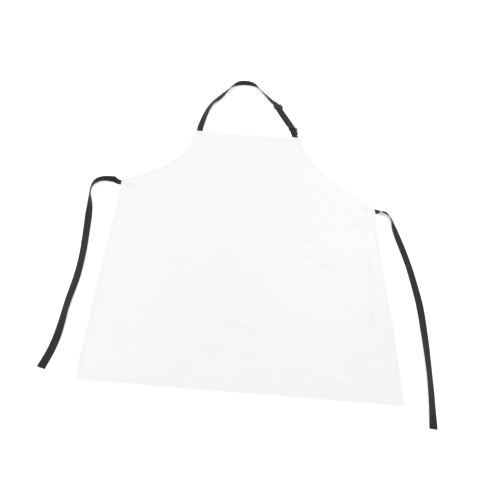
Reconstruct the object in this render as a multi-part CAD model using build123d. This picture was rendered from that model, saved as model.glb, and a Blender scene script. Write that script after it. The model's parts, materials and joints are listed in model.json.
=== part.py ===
from build123d import *
import math
import os

# ---------------------------------------------------------------------------
# Butcher's bib apron: white coated (vinyl) sheet with folded, stitched hems,
# black webbing neck loop with a slider and a loop ring, two black waist ties.
# It lies face up on a flat surface. Millimetres, +Z up, +Y towards the bib,
# +X to the right seen from the front. Drawn in panel coordinates (origin in
# the middle of the bottom hem) and shifted at the end to the bottom centre of
# the box round the panel and neck loop, which leaves out the two free ties.
# ---------------------------------------------------------------------------
SHEET_T = 0.4          # coated sheet thickness
HEM_Z = 1.0            # underside of the folded hem, on top of the webbing
SHEET_Z = HEM_Z + SHEET_T
TOP_Z = SHEET_Z + SHEET_T
WEB_W = 17.5           # webbing width (11/16 in)
WEB_T = 1.0            # webbing thickness
BIB_HEM = 25.0         # width of the hem along the bib's top
ARM_HEM = 9.0          # armhole hems
SIDE_HEM = 8.0
BOTTOM_HEM = 10.0
STITCH_W = 0.9         # width of a row of thread
STITCH_H = 0.25
FOLD_Y = 632.0         # line where the bib folds down at the waist
FOLD_AXIS_Z = 16.0     # height of the fold's turning centre
CUT_GAP = 0.4          # gap between the two halves at a fold line
NECK_AXIS = (-3.0, 903.0, 12.0)     # a point on the line where the neck loop folds
NECK_AXIS_DIR = (0.99883, 0.04839, 0.0)
NECK_CUT_Y = 896.2     # where that line crosses the left end of the neck strap
LEFT_PIVOT = (-399.9, 613.8)        # upright bend of the left tie
RIGHT_CUT = (373.5, 592.4)          # where the right tie bends
RIGHT_PIVOT = (377.2, 597.7)        # turning centre of that bend, at the webbing's upper edge
SLIDE_MAX = 84.0       # travel of the slider towards the ring

# outline of the panel, panel coordinates, going round from the bib's left end
BIB_TOP = [(-157, 882), (-130, 882.8), (-92, 884.6), (-54, 886.5), (-8, 889),
           (37, 891.2), (75, 893.3), (112, 895.2), (153, 897)]
RIGHT_ARM = [(153, 897), (157, 868), (160, 850), (166, 832), (172, 814), (178.5, 797),
             (186, 780.5), (196, 763.5), (208.5, 747.5), (222.5, 732), (237, 716.5),
             (250.5, 701.5), (265, 686.5), (280, 672), (295, 657.5), (310.5, 643.5),
             (326.5, 629.5), (342, 616)]
RIGHT_SIDE = [(342, 616), (344.6, 603), (345, 583), (344.6, 560), (344, 530), (343.4, 485),
              (343.3, 414), (343.8, 354), (344.4, 283), (345.4, 229), (345.8, 171),
              (345, 116), (343.8, 63), (342.6, 17), (342, -2.5)]
BOTTOM = [(342, -2.5), (290, -2), (203, -0.6), (83, 0.4), (-46, 0.6), (-121, 1), (-207, 2),
          (-290, 2.4), (-343, 2)]
LEFT_SIDE = [(-343, 2), (-345, 50), (-344.8, 102), (-343.6, 157), (-343.4, 214), (-342.6, 275),
             (-341, 326), (-340.2, 406), (-338.4, 470), (-337.4, 507), (-337.6, 553),
             (-338.2, 576), (-336.6, 602), (-336.2, 629), (-334, 637)]
LEFT_ARM = [(-334, 637), (-307, 653), (-276, 675), (-250, 696), (-226, 717), (-211, 737),
            (-198, 756), (-187, 776), (-179, 796), (-170.5, 816), (-166.2, 835), (-164, 855),
            (-157, 882)]

# routes of the webbing: x, y of the centreline and the tilt of the ribbon in
# degrees about its own line (90 = standing on edge, right-hand edge up)
NECK_ROUTE = [(-145.6, 858, 0), (-145.6, 880, 0), (-144.9, 902.9, 0), (-141.6, 921.4, 11),
              (-138, 944, 19), (-132.8, 969.9, 26), (-126.1, 996.2, 32), (-117.6, 1022.3, 33),
              (-108.8, 1038.4, 19), (-100.7, 1052.7, 12), (-92.1, 1067.2, 15), (-83.7, 1082.4, 27),
              (-74.6, 1099.8, 41), (-62.2, 1122.7, 57), (-40, 1144.8, 86), (-9, 1151.5, 87),
              (16.6, 1144.2, 66), (30.9, 1124.7, 48), (45.7, 1103.7, 35), (57.5, 1086.1, 26),
              (67.6, 1069.3, 14)]
LEFT_TIE = [(-300, 612.5, 0), (-316, 617.6, 0), (-330, 621.8, 0), (-335.5, 623.4, 0),
            (-341.5, 625.2, 0), (-347.3, 626.8, 4), (-352.7, 626.4, 44), (-358.3, 625.5, 77),
            (-366, 625.7, 85), (-372.1, 626.3, 89), (-382.4, 625, 94), (-391.9, 621.5, 97),
            (-400.3, 614, 95), (-405.6, 605, 98), (-408.9, 594.4, 96), (-409.3, 583.6, 95),
            (-409, 572.1, 89), (-406.9, 559.7, 79), (-404.5, 547, 67), (-402.7, 534.4, 55),
            (-401.3, 522.2, 45), (-400.2, 510.5, 37), (-399.4, 497.3, 27),
            (-398.2, 478.2, 8), (-396.2, 450.7, -8), (-393.1, 410.2, -14),
            (-390.1, 366.1, -18), (-389.1, 322.2, -18), (-389.8, 284.4, -12),
            (-392.5, 246.8, -14), (-395.9, 209, -21), (-397.3, 174.4, -28),
            (-398.2, 141.1, -17), (-400.2, 107.3, -4), (-404.9, 74.5, -2), (-411.6, 45.5, 4),
            (-416.9, 25.1, 6)]
RIGHT_TIE = [(305, 607.5, 0), (322, 606.2, 0), (338, 604.4, 0), (352.5, 601.5, 0),
             (356.2, 600.2, 20), (360.4, 598.8, 42), (365.3, 596.9, 54), (370.9, 594.4, 58),
             (376.4, 590.6, 57), (380.6, 585.4, 54), (383.4, 578.4, 50), (385.5, 569, 48),
             (387.4, 557.6, 47), (388.7, 545.2, 29), (390.8, 532.2, 14), (394.3, 511.4, 5),
             (400.2, 477.9, -2), (406.7, 436.1, 0), (411.7, 394.5, 4), (414.8, 354.6, 3),
             (417.6, 315.6, -1), (419.1, 278.9, -2), (418.5, 242.7, 5), (416.8, 206.7, 8),
             (415.4, 171.8, 15), (413.2, 137.2, 23), (411.2, 104.7, 26), (408.9, 73.7, 31),
             (406.7, 42.7, 26), (403.5, 12.6, 26), (400.4, -18.7, 18), (397.3, -51.3, 0)]

# adjuster: the doubled stretch of webbing between the slider and the ring
RING_BAR = (129.4, 939.0)            # centre of the ring's upper bar
RING_DIR = (-0.2991, 0.9542)         # from the ring's lower bar to its upper bar
RING_GAP = 8.9                       # between the two bars
TAB_DIR = (-0.2079, 0.9781)          # from the bib to the ring
TAB_CUT = 21.8                       # ring's lower bar to the neck loop's fold line
DOUBLE_DIR = (-0.386, 0.9225)        # from the ring to the slider
DOUBLE_LEN = 112.0                   # ring bar to slider centre
TOP_LAYER_Z = 4.1                    # underside of the upper layer of webbing
# the lower layer bows out to the left of the upper one: along DOUBLE_DIR, and to its right
RETURN_ROUTE = [(3.15, 0), (8, 0), (16, -2.2), (28, -3.4), (56, -3.6), (84, -3.4), (96, -2.2),
                (105, 0), (DOUBLE_LEN + 2, 0)]
RING_BAR_R = 0.75
SLIDER_W = 26.8
SLIDER_L = 17.0
SLIDER_SLOT = 19.6                   # 2 mm more than the webbing
SLIDER_B = 0.7                       # the slider has shifted to the right on the strap
SLIDER_BAR = 4.6
RING_W = 26.2
RING_CHEEK = 3.4

os.makedirs("parts", exist_ok=True)
nodes = {}


# ------------------------------------------------------------------ helpers
def bspline(ctrl, per_span=4):
    """Points on the clamped uniform quadratic B-spline over the control points."""
    n = len(ctrl)
    knots = [0, 0, 0] + list(range(1, n - 2)) + [n - 2] * 3
    out = []
    total = (n - 2) * per_span
    for i in range(total + 1):
        u = (n - 2) * i / total
        k = min(int(u), n - 3) + 2
        d = [list(ctrl[j + k - 2]) for j in range(3)]
        for r in range(1, 3):
            for j in range(2, r - 1, -1):
                lo = knots[j + k - 2]
                hi = knots[j + 1 + k - r]
                a = (u - lo) / (hi - lo) if hi > lo else 0.0
                d[j] = [(1 - a) * p + a * q for p, q in zip(d[j - 1], d[j])]
        out.append(tuple(d[2]))
    return out


def ribbon_sections(samples, width=WEB_W, thick=WEB_T, z_of=None):
    """Rectangular sections across a ribbon whose lower edge rests on z = 0."""
    secs = []
    for i, (x, y, tilt) in enumerate(samples):
        a = samples[max(i - 1, 0)]
        b = samples[min(i + 1, len(samples) - 1)]
        tx, ty = b[0] - a[0], b[1] - a[1]
        ln = math.hypot(tx, ty)
        tx, ty = tx / ln, ty / ln
        th = math.radians(tilt)
        wx, wy, wz = ty * math.cos(th), -tx * math.cos(th), math.sin(th)
        nx, ny, nz = -ty * math.sin(th), tx * math.sin(th), math.cos(th)
        zc = width / 2 * abs(math.sin(th)) + thick / 2 * abs(math.cos(th))
        if z_of:
            zc += z_of(i, x, y)
        c = (x, y, zc)
        hw, ht = width / 2, thick / 2
        secs.append([(c[0] + s * wx * hw + t * nx * ht, c[1] + s * wy * hw + t * ny * ht,
                      c[2] + s * wz * hw + t * nz * ht)
                     for s, t in ((-1, -1), (1, -1), (1, 1), (-1, 1))])
    return secs


def loft_ribbon(secs):
    """Closed solid through rectangular sections, each side a ruled face."""
    faces = []
    first, last = secs[0], secs[-1]
    faces.append(Face(Wire.make_polygon([Vector(*p) for p in first], close=True)))
    faces.append(Face(Wire.make_polygon([Vector(*p) for p in last], close=True)))
    for a, b in zip(secs, secs[1:]):
        for k in range(4):
            m = (k + 1) % 4
            pts = [Vector(*a[k]), Vector(*a[m]), Vector(*b[m]), Vector(*b[k])]
            faces.append(Face(Wire.make_polygon([pts[0], pts[1], pts[2]], close=True)))
            faces.append(Face(Wire.make_polygon([pts[0], pts[2], pts[3]], close=True)))
    solid = Solid(Shell(faces))
    return solid if solid.volume > 0 else Solid(Shell([-f for f in faces]))


def plate(points, z0, thick):
    """Straight prism over a closed polygon."""
    face = Face(Wire.make_polygon([Vector(x, y, z0) for x, y in points], close=True))
    if face.normal_at().Z < 0:
        face = -face
    return Solid.extrude(face, Vector(0, 0, thick))


def smooth(points, steps=4):
    """Denser polyline through the points on a Catmull-Rom curve."""
    out = []
    n = len(points)
    for i in range(n - 1):
        p0 = points[max(i - 1, 0)]
        p1, p2 = points[i], points[i + 1]
        p3 = points[min(i + 2, n - 1)]
        for s in range(steps):
            t = s / steps
            out.append(tuple(0.5 * (2 * b + (c - a) * t + (2 * a - 5 * b + 4 * c - d) * t * t
                                    + (3 * b - a - 3 * c + d) * t ** 3)
                             for a, b, c, d in zip(p0, p1, p2, p3)))
    out.append(points[-1])
    return out


def shift_in(line, dist):
    """Polyline moved to its right-hand side by dist (inwards on a clockwise outline)."""
    out = []
    for i, (x, y) in enumerate(line):
        a = line[max(i - 1, 0)]
        b = line[min(i + 1, len(line) - 1)]
        tx, ty = b[0] - a[0], b[1] - a[1]
        ln = math.hypot(tx, ty)
        out.append((x + ty / ln * dist, y - tx / ln * dist))
    return out


def row(line, z0=TOP_Z, width=STITCH_W, height=STITCH_H):
    """A row of stitching as a thin strip along a polyline."""
    left = shift_in(line, -width / 2)
    right = shift_in(line, width / 2)
    return plate(left + right[::-1], z0, height)


def cut_ends(line, start, end):
    """Polyline shortened by a length at each end."""
    def trim(pts, d):
        pts = list(pts)
        while len(pts) > 2:
            seg = math.dist(pts[0], pts[1])
            if seg > d:
                f = d / seg
                pts[0] = tuple(a + (b - a) * f for a, b in zip(pts[0], pts[1]))
                return pts
            d -= seg
            pts.pop(0)
        return pts
    return trim(trim(line, start)[::-1], end)[::-1]


def box_stitch(cx, cy, dx, dy, wide, length):
    """Square with a cross, sewn in one line of thread: a flat closed solid."""
    ux, uy = dx, dy
    vx, vy = uy, -ux
    def pt(a, b):
        return (cx + ux * a + vx * b, cy + uy * a + vy * b)
    h, w, s = length / 2, wide / 2, STITCH_W / 2
    outer = plate([pt(-h - s, -w - s), pt(h + s, -w - s), pt(h + s, w + s), pt(-h - s, w + s)],
                  TOP_Z, STITCH_H)
    inner = plate([pt(-h + s, -w + s), pt(h - s, -w + s), pt(h - s, w - s), pt(-h + s, w - s)],
                  TOP_Z - 1, STITCH_H + 2)
    frame = outer - inner
    ang = math.atan2(2 * w, 2 * h)
    diag = math.hypot(2 * h, 2 * w) - 0.2
    bars = []
    for sg in (1, -1):
        ca, sa = math.cos(sg * ang), math.sin(sg * ang)
        ex, ey = ux * ca + vx * sa, uy * ca + vy * sa
        fx, fy = ey, -ex
        q = [(cx + ex * a + fx * b, cy + ey * a + fy * b)
             for a, b in ((-diag / 2, -s), (diag / 2, -s), (diag / 2, s), (-diag / 2, s))]
        bars.append(plate(q, TOP_Z, STITCH_H))
    return frame + bars[0] + bars[1]


def strip(profile, base, direction, width):
    """Solid of a folded strip: a closed (along, up) profile pushed across the width."""
    dx, dy = direction
    vx, vy = dy, -dx
    pts = [Vector(base[0] + dx * a - vx * width / 2, base[1] + dy * a - vy * width / 2, z)
           for a, z in profile]
    face = Face(Wire.make_polygon(pts, close=True))
    return Solid.extrude(face, Vector(vx * width, vy * width, 0))


def bar(base, direction, a, z, r, length):
    """Round bar lying across the strap at distance a along it."""
    dx, dy = direction
    vx, vy = dy, -dx
    start = Vector(base[0] + dx * a - vx * length / 2, base[1] + dy * a - vy * length / 2, z)
    pl = Plane(origin=start, x_dir=Vector(0, 0, 1), z_dir=Vector(vx, vy, 0))
    return Solid.make_cylinder(r, length, pl)


def brick(base, direction, a0, a1, b0, b1, z0, z1):
    """Box along a strap: a along it, b to its right-hand side, z up."""
    dx, dy = direction
    vx, vy = dy, -dx
    q = [(base[0] + dx * a + vx * b, base[1] + dy * a + vy * b)
         for a, b in ((a0, b0), (a1, b0), (a1, b1), (a0, b1))]
    return plate(q, z0, z1 - z0)


# ------------------------------------------------------------------ the panel
top = smooth(BIB_TOP, 2)
r_arm = smooth(RIGHT_ARM, 3)
r_side = smooth(RIGHT_SIDE, 2)
bottom = smooth(BOTTOM, 2)
l_side = smooth(LEFT_SIDE, 2)
l_arm = smooth(LEFT_ARM, 3)
outline = top[:-1] + r_arm[:-1] + r_side[:-1] + bottom[:-1] + l_side[:-1] + l_arm[:-1]

def inset(line, widths):
    """Line moved inwards, to its right-hand side; widths is one hem width per segment."""
    out = []
    n = len(line)
    for i in range(n):
        segs = []
        for j in (i - 1, i):
            if 0 <= j < n - 1:
                (x1, y1), (x2, y2) = line[j], line[j + 1]
                ln = math.hypot(x2 - x1, y2 - y1)
                segs.append(((x2 - x1) / ln, (y2 - y1) / ln, widths[j]))
        x, y = line[i]
        if len(segs) == 1:
            dx, dy, w = segs[0]
            out.append((x + dy * w, y - dx * w))
            continue
        (ax, ay, wa), (bx, by, wb) = segs
        cr = ax * by - ay * bx
        if abs(cr) < 0.12:
            mx, my, w = (ax + bx) / 2, (ay + by) / 2, (wa + wb) / 2
            out.append((x + my * w, y - mx * w))
            continue
        p = (x + ay * wa, y - ax * wa)
        q = (x + by * wb, y - bx * wb)
        t = ((q[0] - p[0]) * by - (q[1] - p[1]) * bx) / cr
        out.append((p[0] + ax * t, p[1] + ay * t))
    return out


def gap_to(p, a, b):
    """Distance from a point to a segment."""
    dx, dy = b[0] - a[0], b[1] - a[1]
    t = max(0.0, min(1.0, ((p[0] - a[0]) * dx + (p[1] - a[1]) * dy) / (dx * dx + dy * dy)))
    return math.hypot(p[0] - a[0] - dx * t, p[1] - a[1] - dy * t)


def clean_inset(line, widths):
    """The inset without the points that fall inside a neighbouring hem."""
    return [p for p in inset(line, widths)
            if all(gap_to(p, line[j], line[j + 1]) > widths[j] - 0.08 for j in range(len(widths)))]


def stop_at(line, y_cut):
    """The line's ends moved to the height y_cut, cutting or stretching the end segments."""
    pts = list(line)
    side = 1 if line[len(line) // 2][1] > y_cut else -1
    for _ in range(2):
        while len(pts) > 2 and side * (pts[1][1] - y_cut) < 0.05:
            pts.pop(0)
        (x1, y1), (x2, y2) = pts[0], pts[1]
        t = (y_cut - y1) / (y2 - y1)
        pts[0] = (x1 + (x2 - x1) * t, y_cut)
        pts = pts[::-1]
    return pts


def hemmed(line, widths, y_cut):
    """Sheet with its hem folded under along the line, cut straight at y_cut: one closed solid."""
    p = stop_at(line, y_cut)
    q = stop_at(clean_inset(line, widths), y_cut)

    def poly(pts):
        return Face(Wire.make_polygon([Vector(*v) for v in pts], close=True))

    faces = [poly([(x, y, TOP_Z) for x, y in p]),
             poly([(x, y, SHEET_Z) for x, y in q][::-1]),
             poly([(x, y, HEM_Z) for x, y in p + q[::-1]][::-1])]
    for (x1, y1), (x2, y2) in zip(p, p[1:]):
        faces.append(poly([(x1, y1, HEM_Z), (x2, y2, HEM_Z), (x2, y2, TOP_Z), (x1, y1, TOP_Z)]))
    for (x1, y1), (x2, y2) in zip(q, q[1:]):
        faces.append(poly([(x1, y1, HEM_Z), (x2, y2, HEM_Z), (x2, y2, SHEET_Z), (x1, y1, SHEET_Z)]))
    faces.append(poly([(*p[0], HEM_Z), (*q[0], HEM_Z), (*q[0], SHEET_Z), (*q[-1], SHEET_Z),
                       (*q[-1], HEM_Z), (*p[-1], HEM_Z), (*p[-1], TOP_Z), (*p[0], TOP_Z)]))
    solid = Solid(Shell(faces))
    return solid if solid.volume > 0 else Solid(Shell([-f for f in faces]))


def joined(*parts):
    """One line, with one hem width per segment, from (line, width) pairs end to end."""
    line, widths = [], []
    for pts, w in parts:
        if line:
            pts = pts[1:]
            widths += [w] * len(pts)
        else:
            widths += [w] * (len(pts) - 1)
        line += pts
    return line, widths


def part_of(line, upper):
    """The stretch of a line above or below the fold, with one point beyond it."""
    keep = [i for i, (_, y) in enumerate(line) if (y > FOLD_Y) == upper]
    lo, hi = max(keep[0] - 1, 0), min(keep[-1] + 1, len(line) - 1)
    return line[lo:hi + 1]


upper_line, upper_w = joined((part_of(l_side, True), SIDE_HEM), (l_arm, ARM_HEM), (top, BIB_HEM),
                             (part_of(r_arm, True), ARM_HEM))
lower_line, lower_w = joined((part_of(r_arm, False), ARM_HEM), (r_side, SIDE_HEM),
                             (bottom, BOTTOM_HEM), (part_of(l_side, False), SIDE_HEM))
nodes["bib_panel"] = hemmed(upper_line, upper_w, FOLD_Y + CUT_GAP / 2)
nodes["skirt_panel"] = hemmed(lower_line, lower_w, FOLD_Y - CUT_GAP / 2)


def above(line):
    return [p for p in line if p[1] > FOLD_Y + 2]


def below(line):
    return [p for p in line if p[1] < FOLD_Y - 2]


nodes["bib_hem_stitching"] = row(cut_ends(shift_in(top, BIB_HEM - 2.5), 2, 2))
nodes["left_armhole_stitching"] = row(above(cut_ends(shift_in(l_arm, ARM_HEM - 1.8), 10, 30)))
nodes["right_armhole_stitching"] = row(above(cut_ends(shift_in(r_arm, ARM_HEM - 1.8), 30, 10)))
nodes["left_side_stitching"] = row(cut_ends(below(shift_in(l_side, SIDE_HEM - 1.8)), 12, 26))
nodes["right_side_stitching"] = row(cut_ends(below(shift_in(r_side, SIDE_HEM - 1.8)), 20, 12))
nodes["bottom_hem_stitching"] = row(cut_ends(shift_in(bottom, BOTTOM_HEM - 1.8), 5, 5))

# ------------------------------------------------------------------ waist ties
def split_route(samples, pivot, gap):
    """The samples before and after a pivot point, leaving a gap around it."""
    near = min(range(len(samples)), key=lambda i: math.dist(samples[i][:2], pivot))
    a = [p for i, p in enumerate(samples) if i <= near and math.dist(p[:2], pivot) > gap]
    b = [p for i, p in enumerate(samples) if i >= near and math.dist(p[:2], pivot) > gap]
    return a, b


def length_of(samples):
    return sum(math.dist(a[:2], b[:2]) for a, b in zip(samples, samples[1:]))


left_line = bspline(LEFT_TIE, 6)
right_line = bspline(RIGHT_TIE, 6)
la, lb = split_route(left_line, LEFT_PIVOT, 1.0)
ra, rb = split_route(right_line, RIGHT_CUT, 1.0)
nodes["left_tie_sewn_end"] = loft_ribbon(ribbon_sections(la))
nodes["left_waist_tie"] = loft_ribbon(ribbon_sections(lb))
nodes["right_tie_sewn_end"] = loft_ribbon(ribbon_sections(ra))
nodes["right_waist_tie"] = loft_ribbon(ribbon_sections(rb))
nodes["left_tie_anchor_stitching"] = box_stitch(-314.0, 616.6, 0.953, -0.304, 10.5, 14.0)
nodes["right_tie_anchor_stitching"] = box_stitch(319.5, 606.4, 0.997, -0.08, 10.5, 14.0)

# ------------------------------------------------------------------ neck loop
neck_line = bspline(NECK_ROUTE, 6)
cut_at = next(i for i, p in enumerate(neck_line) if p[1] > NECK_CUT_Y)
sewn = neck_line[:cut_at]
free = [(x, y, t) for x, y, t in neck_line if y > sewn[-1][1] + 0.8 or x > -130]
nodes["neck_strap_sewn_end"] = loft_ribbon(ribbon_sections(sewn))
nodes["neck_strap_anchor_stitching"] = box_stitch(-145.6, 871.0, 0.0, 1.0, 10.5, 12.0)

ux, uy = DOUBLE_DIR
rx, ry = RING_BAR


def on_double(a, b=0.0):
    """Point at distance a above the ring bar, b to the right-hand side."""
    return (rx + ux * a + uy * b, ry + uy * a - ux * b)


# arch, rising onto the slider, then the straight upper layer down to the ring
arch_end = on_double(DOUBLE_LEN + 16)
tail_pts = free + [(*arch_end, 0.0)]
climb = 34.0
dist_to_end = [0.0] * len(tail_pts)
for i in range(len(tail_pts) - 2, -1, -1):
    dist_to_end[i] = dist_to_end[i + 1] + math.dist(tail_pts[i][:2], tail_pts[i + 1][:2])


def lift(i, x, y):
    d = dist_to_end[i]
    return TOP_LAYER_Z * max(0.0, 1 - d / climb) ** 2 * (1 + 2 * d / climb) if d < climb else 0.0


arch_secs = ribbon_sections(tail_pts, z_of=lift)
# last section square to the straight stretch
hw = WEB_W / 2


def cross_section(a, z0):
    l = on_double(a, hw)
    r = on_double(a, -hw)
    return [(l[0], l[1], z0), (r[0], r[1], z0), (r[0], r[1], z0 + WEB_T), (l[0], l[1], z0 + WEB_T)]


def match(secs, ref):
    """Order of the corners of ref nearest to those of the last section."""
    last = secs[-1]
    best = min(range(4), key=lambda k: sum(math.dist(last[j], ref[(j + k) % 4]) for j in range(4)))
    rev = ref[::-1]
    best_r = min(range(4), key=lambda k: sum(math.dist(last[j], rev[(j + k) % 4]) for j in range(4)))
    c1 = [ref[(j + best) % 4] for j in range(4)]
    c2 = [rev[(j + best_r) % 4] for j in range(4)]
    s1 = sum(math.dist(p, q) for p, q in zip(last, c1))
    s2 = sum(math.dist(p, q) for p, q in zip(last, c2))
    return c1 if s1 <= s2 else c2


arch_secs = arch_secs[:-1]
arch_secs.append(match(arch_secs, cross_section(DOUBLE_LEN + 16, TOP_LAYER_Z)))
arch = loft_ribbon(arch_secs)

# straight run and the turn round the ring's upper bar
turn_z = TOP_LAYER_Z - (TOP_LAYER_Z - WEB_T) / 2
r_in = (TOP_LAYER_Z - WEB_T) / 2
r_out = r_in + WEB_T
outer = [(-r_out * math.sin(math.radians(t)), turn_z + r_out * math.cos(math.radians(t)))
         for t in range(0, 181, 15)]
inner = [(-r_in * math.sin(math.radians(t)), turn_z + r_in * math.cos(math.radians(t)))
         for t in range(180, -1, -15)]
profile = [(DOUBLE_LEN + 16, TOP_LAYER_Z + WEB_T)] + outer + [(3.0, 0.0), (3.0, WEB_T)] + inner \
    + [(DOUBLE_LEN + 16, TOP_LAYER_Z)]
double = strip(profile, RING_BAR, DOUBLE_DIR, WEB_W)
nodes["neck_strap"] = arch + double

# the return layer under it, ending in the loop sewn round the slider's bar
return_line = [(*on_double(a, b), 0.0) for a, b in bspline(RETURN_ROUTE, 6)]
nodes["neck_strap_return"] = loft_ribbon(ribbon_sections(return_line))

# ------------------------------------------------------------------ slider
s0 = DOUBLE_LEN
hl, hsw = SLIDER_L / 2, SLIDER_W / 2
inner_w = SLIDER_SLOT / 2
slider_base = on_double(0.0, SLIDER_B)
cheeks = [brick(slider_base, DOUBLE_DIR, s0 - hl, s0 + hl, sg * inner_w if sg > 0 else -hsw,
                hsw if sg > 0 else -inner_w, 1.15, 6.4) for sg in (1, -1)]
end_bars = [brick(slider_base, DOUBLE_DIR, s0 + a0, s0 + a1, -inner_w - 0.5, inner_w + 0.5, 5.25, 6.4)
            for a0, a1 in ((-hl, -hl + SLIDER_BAR), (hl - SLIDER_BAR, hl))]
centre_bar = brick(slider_base, DOUBLE_DIR, s0 - 1.8, s0 + 1.8, -inner_w - 0.5, inner_w + 0.5, 1.15, 2.5)
slider = cheeks[0] + cheeks[1] + end_bars[0] + end_bars[1] + centre_bar
# soften the four outer corners seen from above
edges = [e for e in slider.edges().filter_by(Axis.Z)
         if abs(abs((e.center().X - slider_base[0]) * uy - (e.center().Y - slider_base[1]) * ux) - hsw) < 0.2
         and e.length > 4]
try:
    slider = slider.fillet(2.2, edges)
except Exception:
    pass
nodes["neck_slider"] = slider

# the sewn end, wrapped over the centre bar, above the return layer
wrap_profile = [(-6.6, 1.05), (-2.1, 1.05), (-2.1, 2.7), (2.1, 2.7), (2.1, 1.05), (3.0, 1.05),
                (3.0, 3.7), (-3.0, 3.7), (-3.0, 2.05), (-6.6, 2.05)]
nodes["strap_end_wrap"] = strip([(a + s0, z) for a, z in wrap_profile], RING_BAR, DOUBLE_DIR, WEB_W - 0.2)
nodes["strap_end_bartack"] = brick(RING_BAR, DOUBLE_DIR, s0 - 5.6, s0 - 4.4, -7.2, 7.2, 2.05, 2.35)

# ------------------------------------------------------------------ ring and tab
TAB_BAR = (RING_BAR[0] - RING_DIR[0] * RING_GAP, RING_BAR[1] - RING_DIR[1] * RING_GAP)
ring_half = RING_W / 2
ring = bar(TAB_BAR, RING_DIR, 0.0, turn_z, RING_BAR_R, 2 * ring_half - 1.0)
ring = ring + bar(TAB_BAR, RING_DIR, RING_GAP, turn_z, RING_BAR_R, 2 * ring_half - 1.0)
for sg in (1, -1):
    b0, b1 = (ring_half - RING_CHEEK, ring_half) if sg > 0 else (-ring_half, -ring_half + RING_CHEEK)
    ring = ring + brick(TAB_BAR, RING_DIR, -1.5, RING_GAP + 1.5, b0, b1, turn_z - 1.1, turn_z + 1.1)
nodes["neck_ring"] = ring

# tab: a short strip folded round the ring's lower bar, its end tacked down short of the bib
tab_outer = [(r_out * math.sin(math.radians(t)), turn_z + r_out * math.cos(math.radians(t)))
             for t in range(0, 181, 15)]
tab_inner = [(r_in * math.sin(math.radians(t)), turn_z + r_in * math.cos(math.radians(t)))
             for t in range(180, -1, -15)]
tab_profile = [(-12.2, 2.15), (-18.6, 2.15), (-18.6, 1.1), (-12.6, 1.1), (-2.6, turn_z + r_in)] \
    + tab_inner[::-1] + [(-TAB_CUT + 0.2, WEB_T), (-TAB_CUT + 0.2, 0.0)] + tab_outer[::-1] \
    + [(-2.2, turn_z + r_out)]
nodes["ring_tab"] = strip(tab_profile, TAB_BAR, TAB_DIR, WEB_W)
nodes["ring_tab_bartack"] = brick(TAB_BAR, TAB_DIR, -16.6, -15.4, -7.2, 7.2, 2.15, 2.45)
nodes["ring_tab_sewn_end"] = brick(TAB_BAR, TAB_DIR, -64.0, -TAB_CUT - 0.2, -hw, hw, 0.0, WEB_T)
tab_anchor = 48.0
tcx, tcy = TAB_BAR[0] - TAB_DIR[0] * tab_anchor, TAB_BAR[1] - TAB_DIR[1] * tab_anchor
nodes["ring_tab_anchor_stitching"] = box_stitch(tcx, tcy, TAB_DIR[0], TAB_DIR[1], 10.5, 12.0)

# ------------------------------------------------------------------ shift and write
# the two ties are free ends of webbing, so the reference box is that of the panel and neck loop
TIES = ("left_tie_sewn_end", "left_waist_tie", "right_tie_sewn_end", "right_waist_tie")
box = Compound(children=[n.moved(Location((0, 0, 0))) for k, n in nodes.items()
                         if k not in TIES]).bounding_box()
shift = Vector(-(box.min.X + box.max.X) / 2, -(box.min.Y + box.max.Y) / 2, -box.min.Z)
print("panel frame to row frame", round(shift.X, 3), round(shift.Y, 3), round(shift.Z, 3))
print("panel and neck loop", [round(v, 2) for v in (box.size.X, box.size.Y, box.size.Z)])
for name, solid in nodes.items():
    moved = solid.moved(Location((shift.X, shift.Y, shift.Z)))
    export_step(moved, os.path.join("parts", name + ".step"))

print("left tie length", round(length_of(left_line), 1), "right tie", round(length_of(right_line), 1))
print("neck strap, sewn end to slider", round(length_of(neck_line) + 20, 1),
      "whole strap", round(length_of(neck_line) + 20 + 2 * DOUBLE_LEN + 20, 1))
area = 0.0
for (x1, y1), (x2, y2) in zip(outline, outline[1:] + outline[:1]):
    area += x1 * y2 - x2 * y1
print("panel area m2", round(abs(area) / 2e6, 4))


def in_row(p):
    return [round((p[0] + shift.X) / 1000, 5), round((p[1] + shift.Y) / 1000, 5),
            round((p[2] + shift.Z) / 1000, 5)]


print("fold axis", in_row((0, FOLD_Y, FOLD_AXIS_Z)))
print("neck axis", in_row(NECK_AXIS), NECK_AXIS_DIR)
print("left pivot", in_row((*LEFT_PIVOT, 8)), "right pivot", in_row((*RIGHT_PIVOT, 4)))
print("slide dir", (-DOUBLE_DIR[0], -DOUBLE_DIR[1], 0), "max", SLIDE_MAX / 1000)
print("rest face point", in_row((-145.6, 870, 0)))


def bend_radii(ctrl):
    """Smallest radius of the plan curve over the control points."""
    pts = bspline(ctrl, 8)
    best = 1e9
    for p, q, r in zip(pts, pts[1:], pts[2:]):
        a, b, c = math.dist(p[:2], q[:2]), math.dist(q[:2], r[:2]), math.dist(p[:2], r[:2])
        s = (a + b + c) / 2
        ar = math.sqrt(max(s * (s - a) * (s - b) * (s - c), 0))
        if ar > 1e-9:
            best = min(best, a * b * c / (4 * ar))
    return round(best, 1)


print("least bend radius in plan: neck", bend_radii(NECK_ROUTE), "left tie", bend_radii(LEFT_TIE),
      "right tie", bend_radii(RIGHT_TIE))
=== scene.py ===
import json
import math

import bpy
import bmesh
import numpy as np
from mathutils import Matrix, Vector


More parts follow.
